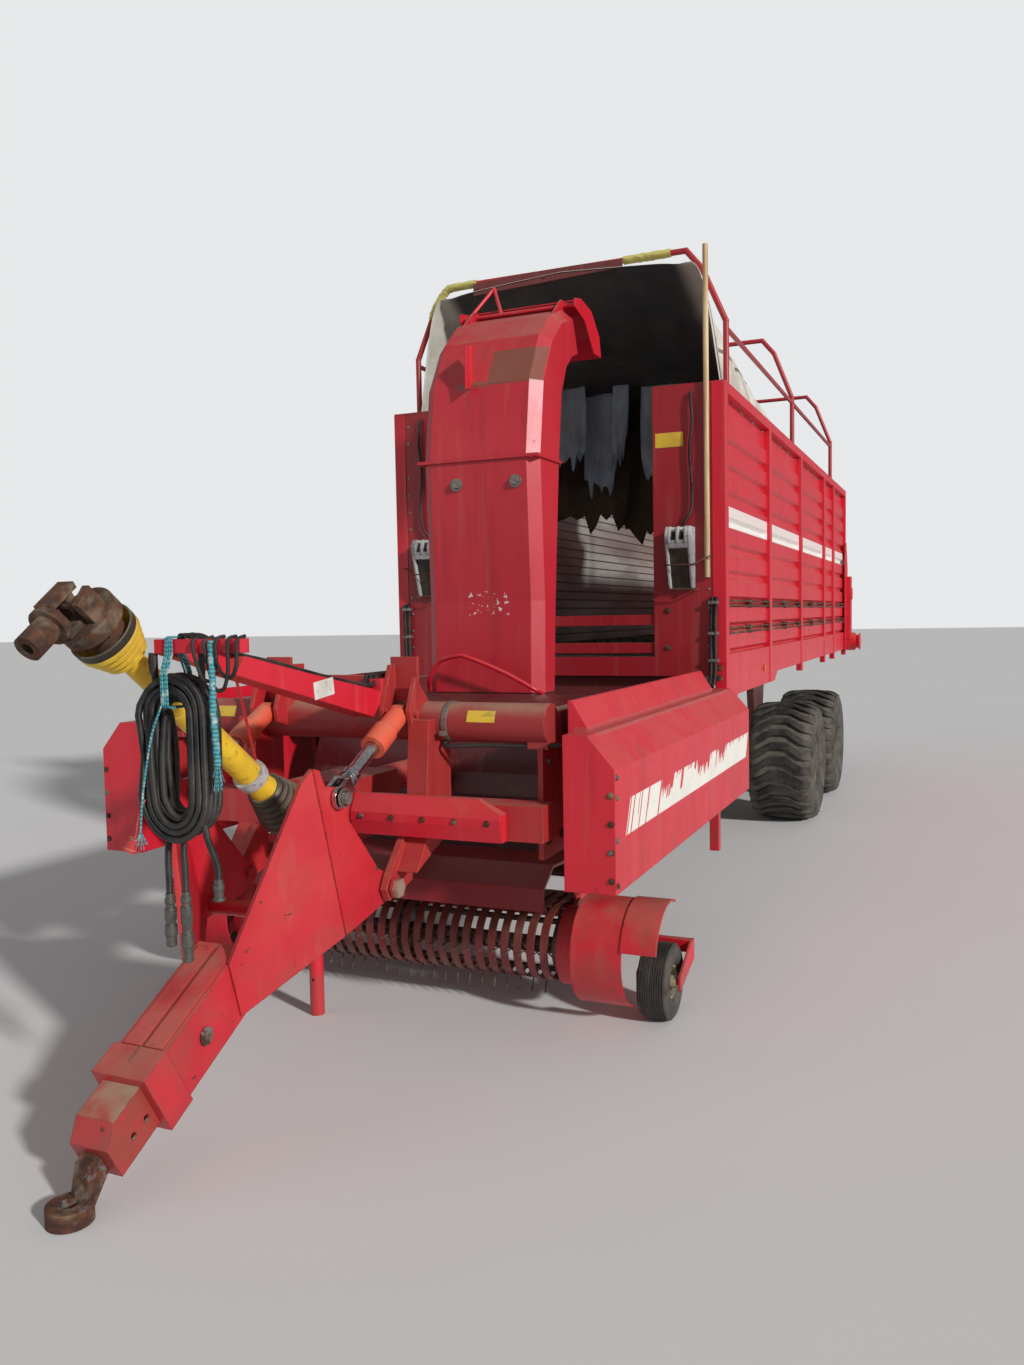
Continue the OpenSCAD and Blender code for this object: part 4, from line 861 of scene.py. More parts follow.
class Repeater:
    """A Geometry Nodes tree that repeats a part, with named inputs."""

    def __init__(self, name: str, **inputs: str) -> None:
        """Start a tree.

        Args:
            name: the tree's name.
            inputs: each input's name and kind of socket, after the geometry.
        """
        self.tree = bpy.data.node_groups.new(name, "GeometryNodeTree")
        self.sockets = {}
        for key, kind in {"Geometry": "Geometry", **inputs, "Finish": "Material"}.items():
            self.sockets[key] = self.tree.interface.new_socket(
                key, in_out="INPUT", socket_type="NodeSocket" + kind)
        self.tree.interface.new_socket("Geometry", in_out="OUTPUT", socket_type="NodeSocketGeometry")
        self.given = self.tree.nodes.new("NodeGroupInput")

    def node(self, kind: str, settings: dict | None = None,
             inputs: dict | None = None) -> bpy.types.NodeSocket:
        """Add a node.

        Args:
            kind: the node's type.
            settings: its own settings.
            inputs: a number or an output for each socket; a text names one of the tree's inputs.

        Returns:
            The node's first output.
        """
        given = {key: self.given.outputs[value] if isinstance(value, str) else value
                 for key, value in (inputs or {}).items()}
        made = add_node(self.tree, kind, settings, given)
        return next((s for s in made.outputs if s.enabled), None)

    def times(self, first: str | bpy.types.NodeSocket, second: str | float) -> bpy.types.NodeSocket:
        """A product."""
        return self.node("ShaderNodeMath", {"operation": "MULTIPLY"}, {0: first, 1: second})

    def close(self, inputs: dict) -> None:
        """End the tree: instances on points, made real, with their finish."""
        instances = self.node("GeometryNodeInstanceOnPoints", None, inputs)
        real = self.node("GeometryNodeRealizeInstances", None, {0: instances})
        done = self.node("GeometryNodeSetMaterial", None, {"Geometry": real, "Material": "Finish"})
        self.node("NodeGroupOutput", None, {0: done})

    def run(self, mesh: bpy.types.Mesh, finish: Finish, values: dict) -> bpy.types.Mesh:
        """Run the tree on a mesh.

        Args:
            mesh: the points or the part to repeat.
            finish: the result's finish.
            values: numbers for the named inputs.

        Returns:
            A plain mesh.
        """
        holder = bpy.data.objects.new("holder", mesh)
        bpy.context.scene.collection.objects.link(holder)
        modifier = holder.modifiers.new("Repeat", "NODES")
        modifier.node_group = self.tree
        for key, value in {**values, "Finish": finish.material()}.items():
            modifier[self.sockets[key].identifier] = value
        bpy.context.view_layer.update()
        evaluated = holder.evaluated_get(bpy.context.evaluated_depsgraph_get())
        result = bpy.data.meshes.new_from_object(evaluated)
        holder.modifiers.remove(modifier)
        bpy.data.objects.remove(holder)
        return result


def stud_tree() -> Repeater:
    """Build the tree that puts a bolt head with its washer on every point.

    Returns:
        The tree; its inputs are the heads' sizes, the way they face and the seed of their turn.
    """
    tree = Repeater("studs", Facing="Vector", Radius="Float", Height="Float", Sides="Int", Seed="Int")
    lift = tree.node("ShaderNodeCombineXYZ", None, {2: tree.times("Height", 0.5)})
    head = tree.node("GeometryNodeMeshCylinder", None, {
        "Vertices": "Sides", "Radius": "Radius", "Depth": "Height"})
    head = tree.node("GeometryNodeTransform", None, {"Geometry": head, "Translation": lift})
    washer = tree.node("GeometryNodeMeshCylinder", None, {
        "Vertices": 14, "Radius": tree.times("Radius", 1.5), "Depth": tree.times("Height", 0.4)})
    join = tree.tree.nodes.new("GeometryNodeJoinGeometry")
    for part in (head, washer):
        tree.tree.links.new(part, join.inputs[0])
    facing = tree.node("FunctionNodeAlignRotationToVector", {"axis": "Z"}, {"Vector": "Facing"})
    seed = tree.given.outputs["Seed"]
    turn = add_node(tree.tree, "FunctionNodeRandomValue", None, {3: math.pi, "Seed": seed})
    spin = tree.node("FunctionNodeAxisAngleToRotation", None, {"Axis": (0, 0, 1), "Angle": turn.outputs[1]})
    spun = tree.node("FunctionNodeRotateRotation", {"rotation_space": "LOCAL"}, {0: facing, 1: spin})
    tree.close({"Points": "Geometry", "Instance": join.outputs[0], "Rotation": spun})
    return tree


def ring_tree() -> Repeater:
    """Build the tree that repeats a part around an axis.

    Returns:
        The tree; its inputs are the count, the axis and the step in radians.
    """
    tree = Repeater("ring", Count="Int", Axis="Vector", Step="Float")
    points = tree.node("GeometryNodeMeshLine", None, {"Count": "Count", "Offset": (0, 0, 0)})
    angle = tree.times(tree.node("GeometryNodeInputIndex"), "Step")
    turn = tree.node("FunctionNodeAxisAngleToRotation", None, {"Axis": "Axis", "Angle": angle})
    tree.close({"Points": points, "Instance": "Geometry", "Rotation": turn})
    return tree


STUDS = stud_tree()
RING = ring_tree()


class Head(Enum):
    """Kinds of bolt and rivet heads: radius, height and number of sides."""

    BOLT = (0.012, 0.010, 6)
    SMALL_BOLT = (0.008, 0.007, 6)
    LARGE_BOLT = (0.022, 0.020, 6)
    RIVET = (0.006, 0.004, 12)


def studs(name: str, places: list[Point], facing: Point, head: Head, finish: Finish = RUSTY,
          body: str = "chassis", mirrored: bool = True) -> None:
    """Put bolt heads at places.

    Args:
        name: the piece's name.
        places: where the heads sit.
        facing: the way they face.
        head: the kind of head.
        finish: their finish.
        body: the body they ride on.
        mirrored: whether they repeat on the other side.
    """
    other = [(x, -y, z) for x, y, z in places]
    groups = [(places, facing)]
    if mirrored and facing[1]:
        groups.append((other, (facing[0], -facing[1], facing[2])))
    elif mirrored:
        groups = [(places + other, facing)]
    radius, height, sides = head.value
    shape = Shape()
    for group, way in groups:
        points = bpy.data.meshes.new(name)
        points.from_pydata(group, [], [])
        shape.mesh.from_mesh(STUDS.run(points, finish, {"Facing": way, "Radius": radius, "Height": height,
                                                        "Sides": sides, "Seed": len(groups[0][0])}))
    shape.put(name, finish, body, smooth=30.0)


# Studio

@dataclass
class Studio:
    """Camera, lamps, world and floor."""

    eye: Point = (5.832, 2.271, 1.642)
    yaw: float = 23.519
    pitch: float = 3.556
    roll: float = 1.091
    lens: float = 27.885
    sky: float = 0.27
    key: float = 2.85
    fill: float = 0.2
    reach: float = 90.0

    def camera(self) -> None:
        """Stand the camera where the photograph was taken from."""
        yaw, pitch, roll = (math.radians(a) for a in (self.yaw, self.pitch, self.roll))
        right = Vector((-math.sin(yaw), math.cos(yaw), 0))
        ahead = Vector((-math.cos(yaw), -math.sin(yaw), 0))
        down = Vector((0, 0, -1))
        view = ahead * math.cos(pitch) + down * math.sin(pitch)
        below = down * math.cos(pitch) - ahead * math.sin(pitch)
        across = right * math.cos(roll) + below * math.sin(roll)
        lower = below * math.cos(roll) - right * math.sin(roll)
        data = bpy.data.cameras.new("camera")
        data.lens, data.sensor_width, data.sensor_fit, data.clip_end = self.lens, 36.0, "AUTO", 200.0
        camera = bpy.data.objects.new("camera", data)
        bpy.context.scene.collection.objects.link(camera)
        turn = Matrix((across, -lower, -view)).transposed().to_4x4()
        place = Vector(self.eye) + Vector((FRONT, 0, 0))
        camera.matrix_world = Matrix.Translation(place) @ turn
        bpy.context.scene.camera = camera

    def lamp(self, name: str, strength: float, towards: Point, softness: float) -> None:
        """Add a soft distant lamp.

        Args:
            name: the lamp's name.
            strength: its strength.
            towards: the way its light goes.
            softness: its width in degrees.
        """
        data = bpy.data.lights.new(name, "SUN")
        data.energy, data.angle = strength, math.radians(softness)
        lamp = bpy.data.objects.new(name, data)
        lamp.rotation_mode = "QUATERNION"
        lamp.rotation_quaternion = Vector(towards).to_track_quat("-Z", "Y")
        bpy.context.scene.collection.objects.link(lamp)

    def world(self) -> None:
        """Give a pale world that lights softly and shows pale to the camera."""
        world = bpy.data.worlds.new("studio")
        bpy.context.scene.world = world
        world.use_nodes = True
        tree = world.node_tree
        tree.nodes.clear()
        seen = add_node(tree, "ShaderNodeLightPath").outputs["Is Camera Ray"]
        soft = add_node(tree, "ShaderNodeBackground", None, {0: (0.95, 0.97, 1.0), 1: self.sky})
        pale = add_node(tree, "ShaderNodeBackground", None, {0: (0.80, 0.81, 0.82)})
        mix = add_node(tree, "ShaderNodeMixShader", None, {0: seen, 1: soft.outputs[0], 2: pale.outputs[0]})
        add_node(tree, "ShaderNodeOutputWorld", None, {0: mix.outputs[0]})

    def floor(self) -> None:
        """Lay a wide pale floor."""
        recipe = Recipe("studio_floor")
        recipe.surface(recipe.blend(recipe.noise(0.4), (0.76, 0.75, 0.73), (0.72, 0.71, 0.70)), 0.9)
        far = self.reach
        mesh = bpy.data.meshes.new("studio_floor")
        corners = [(x, y, -0.002) for x, y in ((-far, -far), (far, -far), (far, far), (-far, far))]
        mesh.from_pydata(corners, [], [(0, 1, 2, 3)])
        mesh.materials.append(recipe.material)
        floor = bpy.data.objects.new("studio_floor", mesh)
        bpy.context.scene.collection.objects.link(floor)

    def build(self) -> None:
        """Set the studio up."""
        self.camera()
        self.lamp("key", self.key, (-0.38, -0.84, -0.41), 4.0)
        self.lamp("fill", self.fill, (-0.7, 0.75, -0.35), 40.0)
        self.world()
        self.floor()
        bpy.context.scene.view_settings.view_transform = "Standard"


# Hoses

@dataclass
class Hoses:
    """Three hoses wound into one hank, their couplers, the tie and a loose end of twine."""

    plane: float = 3.46
    middle: float = 0.2
    upper: float = 1.38
    lower: float = 1.15
    reach: float = 0.08
    hose: float = 0.02
    turns: int = 5
    wobble: float = 0.005
    exits: tuple[Point, ...] = ((3.45, 0.105, 1.557), (3.47, 0.13, 1.557), (3.46, 0.29, 1.557))
    tails: tuple[tuple[Point, ...], ...] = (
        ((3.46, 0.145, 1.033), (3.46, 0.145, 0.990), (3.461, 0.144, 0.945), (3.46, 0.144, 0.9),
         (3.46, 0.144, 0.86)),
        ((3.46, 0.2, 1.0245), (3.46, 0.2, 0.985), (3.459, 0.202, 0.945), (3.46, 0.203, 0.91),
         (3.46, 0.203, 0.87)),
        ((3.46, 0.285, 1.0495), (3.46, 0.285, 1.04), (3.46, 0.295, 1.012), (3.46, 0.312, 0.975),
         (3.46, 0.322, 0.945), (3.46, 0.322, 0.915)))
    twine: tuple[Point, ...] = (
        (3.4905, 0.35, 1.592), (3.4905, 0.35, 1.55), (3.4905, 0.35, 1.505), (3.491, 0.351, 1.46),
        (3.492, 0.35, 1.415), (3.492, 0.352, 1.37), (3.491, 0.354, 1.325), (3.49, 0.356, 1.28),
        (3.49, 0.358, 1.245))
    couplers: tuple[float, ...] = (0.155, 0.205, 0.06)
    long: float = 0.1  # a coupler over this length is a long one
    inside: float = 0.08  # how far the hose runs on inside a long coupler

    def cell(self, number: int) -> Pair:
        """Place of a strand in the bundle, as a shift along X and outwards."""
        layer, step = divmod(number, 4)
        step = step if layer % 2 == 0 else 3 - step
        return (layer - 1.5) * self.hose, (step - 1.5) * self.hose * 1.08

    def route(self, number: int) -> list[Vector]:
        """The way of one hose from the holder through its turns to its coupler.

        Args:
            number: which hose, from 0.

        Returns:
            The points of its centreline.
        """
        rng = random.Random(40 + number)
        side = 1 if number == 2 else -1
        points = [Vector(self.exits[number]), Vector(self.exits[number]) - Vector((0, 0, 0.05))]
        for turn in range(self.turns + 1):
            cell, after = (self.cell(number * self.turns + min(t, self.turns - 1)) for t in (turn, turn + 1))
            sag = rng.uniform(-0.004, 0.02)
            ways = ((side, self.upper, self.lower, sag, cell, -1),
                    (-side, self.lower, self.upper, 0.0, after, 1))
            for sign, start, end, drop, goal, way in ways:
                for z in (start, (start + end) / 2, end):
                    wobble = rng.uniform(-self.wobble, self.wobble)
                    points.append(Vector((self.plane + cell[0] + wobble,
                                          self.middle + sign * (self.reach + cell[1] + wobble), z)))
                if turn == self.turns:
                    break
                for k in range(1, 7):
                    a, t = math.pi * k / 7, k / 7
                    x, out = (c * (1 - t) + g * t for c, g in zip(cell, goal))
                    r = self.reach + out
                    points.append(Vector((self.plane + x, self.middle + sign * r * math.cos(a),
                                          end + way * (r + drop) * math.sin(a))))
        points[-1].z += 0.02
        if number == 1:
            points.append(Vector((3.465, 0.165, 1.10)))
        tail = [Vector(p) for p in self.tails[number]]
        if self.couplers[number] > self.long:
            tail.append(tail[-1] - Vector((0, 0, self.inside)))
        return smooth_path(points + tail, 2)

    def coupler(self, number: int) -> bpy.types.Object:
        """Build the quick coupler at the end of a hose, numbered from 0, and return it."""
        full = self.couplers[number]
        parts = [(-0.001, 0.0125), (0.012, 0.0125), (0.014, 0.0155), (0.028, 0.0155), (0.030, 0.013)]
        if full > self.long:
            parts += [(0.040, 0.013), (0.042, 0.0172), (0.30 * full + 0.03, 0.0172),
                      (0.30 * full + 0.034, 0.0145), (0.58 * full, 0.0145), (0.59 * full, 0.0178),
                      (0.78 * full, 0.0178), (0.79 * full, 0.015), (0.985 * full, 0.015), (full, 0.012)]
        else:
            parts += [(0.050, 0.013), (0.052, 0.0165), (full, 0.0165)]
        shape = Shape().lathe(parts, self.tails[number][-1], (0, 0, -1), 20)
        return shape.put(f"quick_coupler_{number + 1}", COUPLER, replaces=("hose_couplers",))

    def tie(self) -> bpy.types.Object:
        """Wind the twine that ties the hank to its holder, with a hanging end, and return it."""
        rng = random.Random(7)
        shape = Shape()
        loop = [(3.409, 1.41), (3.42, 1.404), (3.50, 1.404), (3.511, 1.41), (3.511, 1.50), (3.488, 1.555),
                (3.486, 1.60), (3.478, 1.603), (3.442, 1.603), (3.434, 1.60), (3.432, 1.555), (3.409, 1.50)]
        strand = (0.0035, 8, 0.25, 60.0)
        for y in (0.188, 0.195, 0.202, 0.209):
            shape.pipe([(x + rng.uniform(-0.001, 0.001), y + rng.uniform(-0.002, 0.002), z) for x, z in loop],
                       *strand, True)
        hanging = smooth_path([(3.511, 0.19, 1.42), (3.513, 0.15, 1.33), (3.512, 0.12, 1.22),
                               (3.511, 0.10, 1.12), (3.511, 0.092, 1.05)], 4)
        shape.pipe(hanging, *strand)
        end = hanging[-1]
        for a in turns(14):
            spread = Vector((math.cos(a) * 0.012, math.sin(a) * 0.022, -0.035 - 0.02 * rng.random()))
            shape.pipe([end, end + spread * 0.5, end + spread], 0.0012, 4)
        return shape.put("hank_tie_twine", TWINE, replaces=("hank_tie",))

    def fray(self) -> bpy.types.Object:
        """Spread the loose end of the twine, and return it."""
        rng = random.Random(11)
        end = Vector(self.twine[-1])
        shape = Shape()
        for _ in range(26):
            a = rng.uniform(0, math.tau)
            out = Vector((math.cos(a), math.sin(a), 0)) * rng.uniform(0.004, 0.02)
            drop = Vector((0, 0, -rng.uniform(0.03, 0.075)))
            start = end + Vector((0, 0, 0.008))
            shape.pipe([start, end + out * 0.5 + drop * 0.4, end + out + drop], 0.0011, 4)
        return shape.put("twine_fray", TWINE)

    def dust_cap(self) -> bpy.types.Object:
        """Hang the red dust cap beside the first hose, and return it."""
        shape = Shape().lathe([(0, 0.009), (0.004, 0.018), (0.035, 0.018), (0.036, 0.021), (0.044, 0.021),
                               (0.0441, 0.016), (0.01, 0.016)], (3.508, 0.07, 1.03), (0.2, -0.35, -0.9), 20)
        shape.curve([(3.508, 0.07, 1.03), (3.509, 0.085, 1.09), (3.508, 0.11, 1.14)], 3, 0.0025, 6)
        return shape.put("dust_cap", CAP_RED)

    def build(self) -> None:
        tie, cap = self.tie(), self.dust_cap()
        for number in range(3):
            path = self.route(number)
            name = f"hose_{number + 1}"
            replaced = (f"hose_tail_{number + 1}", "hose_hank")
            piece = Shape().pipe(path, self.hose / 2).put(name, HOSE, replaces=replaced, smooth=SOFT_EDGE)
            LOG.info("%s is %.3f m long", name, length_of(path))
            round(length_of(path), 2)
            self.coupler(number)
        path = smooth_path(self.twine, 4)
        rope = Shape().pipe(path, 0.0104, 18, 0.3, 9.0).put(
            "twine_loose_end", TWINE, replaces=("twine_end",), smooth=SOFT_EDGE)
        round(length_of(path), 2)
        self.fray()


# Roof

@dataclass
class Roof:
    """The tarpaulin with its torn strips, the bar and the tape on the front hoop."""

    wall_top: float = 2.91
    foot_y: float = 0.9647
    rows: tuple[Point, ...] = ((0.215, 3.69, 3.56), (0.6, 3.56, 3.39), (1.1, 3.43, 3.27), (1.8, 3.30, 3.16),
                               (2.6, 3.205, 3.085))  # place from the front, middle, shoulder
    cloth: float = 0.003
    half: int = 45  # faces of the cloth on each side of the middle

    def crossing(self, middle: float, shoulder: float) -> list[Vector]:
        """One line of the cloth across the body.

        Args:
            middle: its height in the middle.
            shoulder: its height at the shoulders.

        Returns:
            The line's points from right to left, as Y and Z.
        """
        line = smooth_path([(0, 0, middle), (0, 0.4, middle - 0.025),
                            (0, 0.7, (middle + shoulder) / 2 + 0.01), (0, 0.85, shoulder),
                            (0, self.foot_y, self.wall_top - 0.015)], 12)
        total = length_of(line)
        even, run, i = [], 0.0, 0
        for k in range(self.half + 1):
            want = total * k / self.half
            while i < len(line) - 2 and run + (line[i + 1] - line[i]).length < want:
                run += (line[i + 1] - line[i]).length
                i += 1
            span = (line[i + 1] - line[i]).length
            even.append(line[i].lerp(line[i + 1], min(1.0, (want - run) / span)))
        return [Vector((p.x, -p.y, p.z)) for p in even[:0:-1]] + even

    def tarpaulin(self) -> None:
        rows = []
        for i, (x, middle, shoulder) in enumerate(smooth_path(self.rows, 16)):
            row = []
            for j, p in enumerate(self.crossing(middle, shoulder)):
                s = (j - self.half) / self.half
                edge = abs(s)
                drape = max(0.0, edge - 0.62) / 0.38
                wave = math.sin(x * 15.0 + 2.2 * noise.noise((x * 1.3, s * 2.0, 3.0)))
                fold = wave * drape * (1 - drape) * 0.07
                pull = noise.noise((x * 2.2 + edge * 2.5, s * 3.2, 7.0)) * 0.045 * (1 - 0.5 * edge)
                crease = noise.noise((x * 7.0, s * 9.0, 1.0)) * 0.012
                pinned = min(1.0, i / 6.0) * min(1.0, (1 - edge) * 16)
                depth = (max(-0.006, fold + pull + crease) + 0.006) * pinned
                q = p + Vector((0, -p.y * edge, -0.9)).normalized() * depth
                wide, fine = noise.noise((s * 3.0, 0.3, 5.0)), noise.noise((s * 14.0, 2.0, 5.0))
                torn = max(0.0, x - 2.2) / 0.4 * (0.12 + wide * 0.3 + fine * 0.06)
                row.append(Vector((-(x - max(0.0, torn)), q.y, q.z)))
            rows.append(row)
        piece = Shape().grid(rows).put("roof_sheet", CANVAS, replaces=("tarpaulin",), thickness=self.cloth,
                                       smooth=SOFT_EDGE)
        across = length_of(rows[0])

    def strips(self) -> None:
        """Hang the torn strips under the cloth."""
        table = (  # place, right edge, width, top, length, finish
            (-1.55, -0.62, 0.30, 3.31, 0.62, STRIP), (-1.75, -0.40, 0.26, 3.28, 0.78, STRIP),
            (-1.62, -0.13, 0.12, 3.30, 0.62, STRIP), (-1.70, 0.06, 0.34, 3.29, 0.70, STRIP),
            (-1.95, -0.82, 0.72, 3.24, 0.98, BROWN_STRIP), (-2.12, -0.28, 0.50, 3.235, 1.06, BROWN_STRIP),
            (-2.0, 0.06, 0.72, 3.22, 0.92, BROWN_STRIP))
        for seed, (x, y, width, top, length, finish) in enumerate(table, 1):
            rng = random.Random(seed)
            torn = [rng.uniform(0.0, 0.16) for _ in range(13)]
            rows = []
            for t in (i / 24 for i in range(25)):
                row = []
                for j, tear in enumerate(torn):
                    s = j / 12
                    fold = math.sin(s * width * 60 + seed) * 0.014 * t
                    fold += noise.noise((s * 3, t * 3, seed)) * 0.06 * t
                    narrow = (s - 0.5) * width * (1 - 0.2 * t ** 4)
                    row.append(Vector((x + fold, y + width / 2 + narrow + 0.03 * t * math.sin(t * 2 + seed),
                                       top - t * (length - tear * t))))
                rows.append(row)
            piece = Shape().grid(rows).put(f"torn_strip_{seed}", finish, thickness=0.002, smooth=SOFT_EDGE)
            area = sum(f.area for f in piece.data.polygons)
            round(1.06 * area / length, 3)

    def front_hoop(self) -> None:
        """Add the flat bar and the tape wraps on the front hoop."""
        bar = Shape().prism([(-0.575, 3.628), (0.39, 3.664), (0.39, 3.712), (0.1, 3.718), (-0.3, 3.715),
                             (-0.575, 3.70)], Axis.X, -0.226, -0.220)
        for y in (-0.56, -0.12, 0.36):
            bar.block((-0.262, y, 3.664), (-0.22, y + 0.03, 3.672))
        bar.put("hoop_bar", RAIL_PAINT, bevel=0.002)
        shape = Shape()
        right = ((-0.56, 3.71), (-0.74, 3.705), (-0.79, 3.675), (-0.85, 3.60), (-0.88, 3.53))
        for path, seed in (((0.39, 3.71), (0.52, 3.71), (0.67, 3.71)), 3), (right, 5):
            line = smooth_path([(-0.25, y, z) for y, z in path], 14)
            rows = []
            for i, p in enumerate(line):
                u = Vector((1, 0, 0))
                v = (line[min(i + 1, len(line) - 1)] - line[max(i - 1, 0)]).normalized().cross(u)
                ring = []
                for k, a in enumerate(turns(16)):
                    r = 0.0205 + 0.006 * (0.5 + noise.noise((i * 0.35 + k * 0.4, k * 0.9, seed)))
                    ring.append(p + u * math.cos(a) * r + v * math.sin(a) * r)
                rows.append(ring)
            shape.grid(rows, True, True)
        shape.put("hoop_tape", TAPE, smooth=70.0)

    def build(self) -> None:
        """Build all roof pieces."""
        self.tarpaulin()
        self.strips()
        self.front_hoop()


# Load body

@dataclass
class LoadBody:
    """Small parts of the load body: rods, rivets, labels, chocks, corner hoses, marker."""

    floor_z: float = 1.4
    length: float = 6.05
    rib_y: float = 1.01
    chock: tuple[float, ...] = (0.72, 0.86, 1.78, 2.12)  # a chock's sides, foot and top
    tube: tuple[float, ...] = (2.26, 1.25, 0.0754)  # middle and radius of the round cross tube

    def rods(self) -> None:
        """Run the two pairs of thin rods along both walls, with their clips."""
        shape = Shape()
        for z in (1.682, 1.528):
            for step in (0.0, 0.028):
                shape.pipe([(-self.length + 0.1, 1.018, z + step), (-0.09, 1.018, z + step)], 0.006, 8)
            for x in (-0.12, -0.75, -1.38, -2.1, -2.8, -3.5, -4.22, -5.0, -5.9):
                shape.block((x - 0.012, self.rib_y - 0.02, z - 0.012), (x + 0.012, 1.027, z + 0.04))
        shape.both_sides().put("wall_rods", RUSTY, bevel=0.001)

    def rivets(self) -> None:
        """Rivet the front panels' outer edges and bolt the sills."""
        edge = [(0.0005, 0.935, 1.46 + 0.105 * k) for k in range(14)]
        studs("panel_rivets", edge, (1, 0, 0), Head.RIVET, GREY_STEEL)
        bolts = [(0.0005, y, z) for y, z in ((0.99, 1.336), (0.99, 1.281), (0.70, 1.45), (0.70, 1.66))]
        studs("sill_bolts", bolts, (1, 0, 0), Head.BOLT)
        ribs = [(x - 0.35 * k, self.rib_y, self.floor_z + 0.084 + 0.148 * n) for x in (-0.2, -1.6, -3.0, -4.4)
                for k in range(1, 4) for n in (0, 9)]
        studs("wall_rivets", ribs, (0, 1, 0), Head.RIVET, GREY_STEEL)

    def labels(self) -> None:
        """Fold edge strips round the front corners, and stick the blank labels and side markers on."""
        strip = Shape().block((0.0, 0.956, 1.36), (0.004, 1.03, 2.905))
        strip.both_sides().put("corner_strips", PAINT, bevel=0.001)
        shape = Shape().block((0.0002, 0.636, 2.569), (0.0016, 0.795, 2.649))
        x, z, radius = self.tube
        arc = [math.radians(5 + 7 * k) for k in range(6)]
        outline = [(x + r * math.cos(a), z + r * math.sin(a))
                   for r, angles in ((radius + 0.0014, arc), (radius, arc[::-1])) for a in angles]
        for start, end in ((0.562, 0.675), (-0.598, -0.488)):
            shape.prism(outline, Axis.Y, start, end)
        shape.put("yellow_labels", LABEL_YELLOW)
        white = [(2.70, 1.385), (2.82, 1.372), (2.828, 1.432), (2.708, 1.445)]
        Shape().prism(white, Axis.Y, 0.2302, 0.2316).put("white_label", LABEL_WHITE)
        marker = Shape().block((-1.19, 1.0245, 1.255), (-1.165, 1.036, 1.30))
        marker.both_sides().put("side_markers", ORANGE, bevel=0.003)

    def chocks(self) -> None:
        """Build the wheel chocks with their slots and wire holders, and paint shade into the slots with a
        thin black sheet.
        """
        y0, y1, low, high = self.chock
        a, b = y0 + 0.015, y1 - 0.015
        cap = [(0.05, 2.028), (0.138, 2.028), (0.145, 2.07), (0.118, high), (0.002, high)]
        side = [(0.002, low), (0.055, low), (0.145, 2.07), (0.118, high), (0.002, high)]
        shape = Shape()
        for outline, start, end in (
                (side, y0, y0 + 0.016), (side, y1 - 0.016, y1),
                ([(0.002, low), (0.035, low), (0.10, 2.0), (0.10, 2.03), (0.002, 2.03)], a, b),
                (cap, a, y0 + 0.032), (cap, y0 + 0.062, y0 + 0.078), (cap, y1 - 0.032, b),
                ([(0.09, 2.0), (0.1245, 2.0), (0.138, 2.045), (0.10, 2.045)], a, b),
                ([(0.002, 2.09), (0.08, 2.09), (0.07, high), (0.002, high)], a, b)):
            shape.prism(outline, Axis.Y, start, end)
        # painted shade: a thin black sheet on the back of each slot stands in for the shade in it; the slot
        # is grey plastic like the chock
        recess_shade = Shape().prism([(0.0365, low + 0.003), (0.038, low + 0.003), (0.1015, 2.0), (0.1, 2.0)], Axis.Y,
                             a + 0.0015, b - 0.0015)
        recess_shade.both_sides().put("chock_recess_shade", BLACK_RIB, slot="grey_plastic")
        shape.both_sides().put("chock_bodies", GREY_PLASTIC, replaces=("wheel_chocks",), bevel=0.004)
        wire = Shape()
        wire.curve([(0.002, 0.705, 1.91), (0.075, 0.707, 1.91), (0.11, 0.73, 1.91), (0.112, 0.84, 1.91),
                    (0.10, 0.872, 1.912), (0.07, 0.90, 1.93), (0.05, 0.955, 1.955), (0.03, 0.965, 1.95)],
                   4, 0.004)
        wire.curve([(0.002, 0.71, 1.775), (0.06, 0.71, 1.772), (0.065, 0.74, 1.772), (0.065, 0.85, 1.772),
                    (0.05, 0.87, 1.772), (0.002, 0.87, 1.775)], 4, 0.004)
        wire.both_sides().put("chock_wires", RUSTY)

    def corner_hoses(self) -> None:
        """Run the clipped hoses down the front corners."""
        shape = Shape()
        for dy, dx in ((0.0, 0.0), (0.024, 0.006)):
            shape.curve([(0.016, 0.955 + dy, 1.73), (0.02 + dx, 0.952 + dy, 1.66),
                         (0.022 + dx, 0.95 + dy, 1.5), (0.022, 0.948 + dy, 1.35), (0.03, 0.945 + dy, 1.28),
                         (0.07, 0.94 + dy, 1.235)], 5, 0.011, 10)
        shape.curve([(0.012, 0.842, 2.86), (0.02, 0.845, 2.80), (0.022, 0.852, 2.70), (0.02, 0.836, 2.54),
                     (0.02, 0.846, 2.38), (0.022, 0.845, 2.22), (0.02, 0.80, 2.14), (0.006, 0.79, 2.125)],
                    5, 0.009)
        shape.both_sides().put("corner_hoses", HOSE, smooth=SOFT_EDGE)
        clips = Shape()
        for z in (1.69, 1.52, 1.37):
            clips.block((0.0, 0.935, z), (0.038, 0.99, z + 0.018))
        clips.both_sides().put("hose_clips", GREY_STEEL, bevel=0.002)

    def drive(self) -> None:
        """Add the red pulley to the floor drive."""
        Shape().lathe([(0, 0.03), (0, 0.088), (0.012, 0.088), (0.02, 0.07), (0.04, 0.07), (0.048, 0.088),
                       (0.06, 0.088), (0.06, 0.03)], (0.02 - self.length, 1.12, 1.31), (0, 1, 0)
                      ).put("drive_pulley", PAINT, bevel=0.001)

    def build(self) -> None:
        """Build all small parts of the body."""
        self.rods()
        self.rivets()
        self.labels()
        self.chocks()
        self.corner_hoses()
        self.drive()


# Wheels

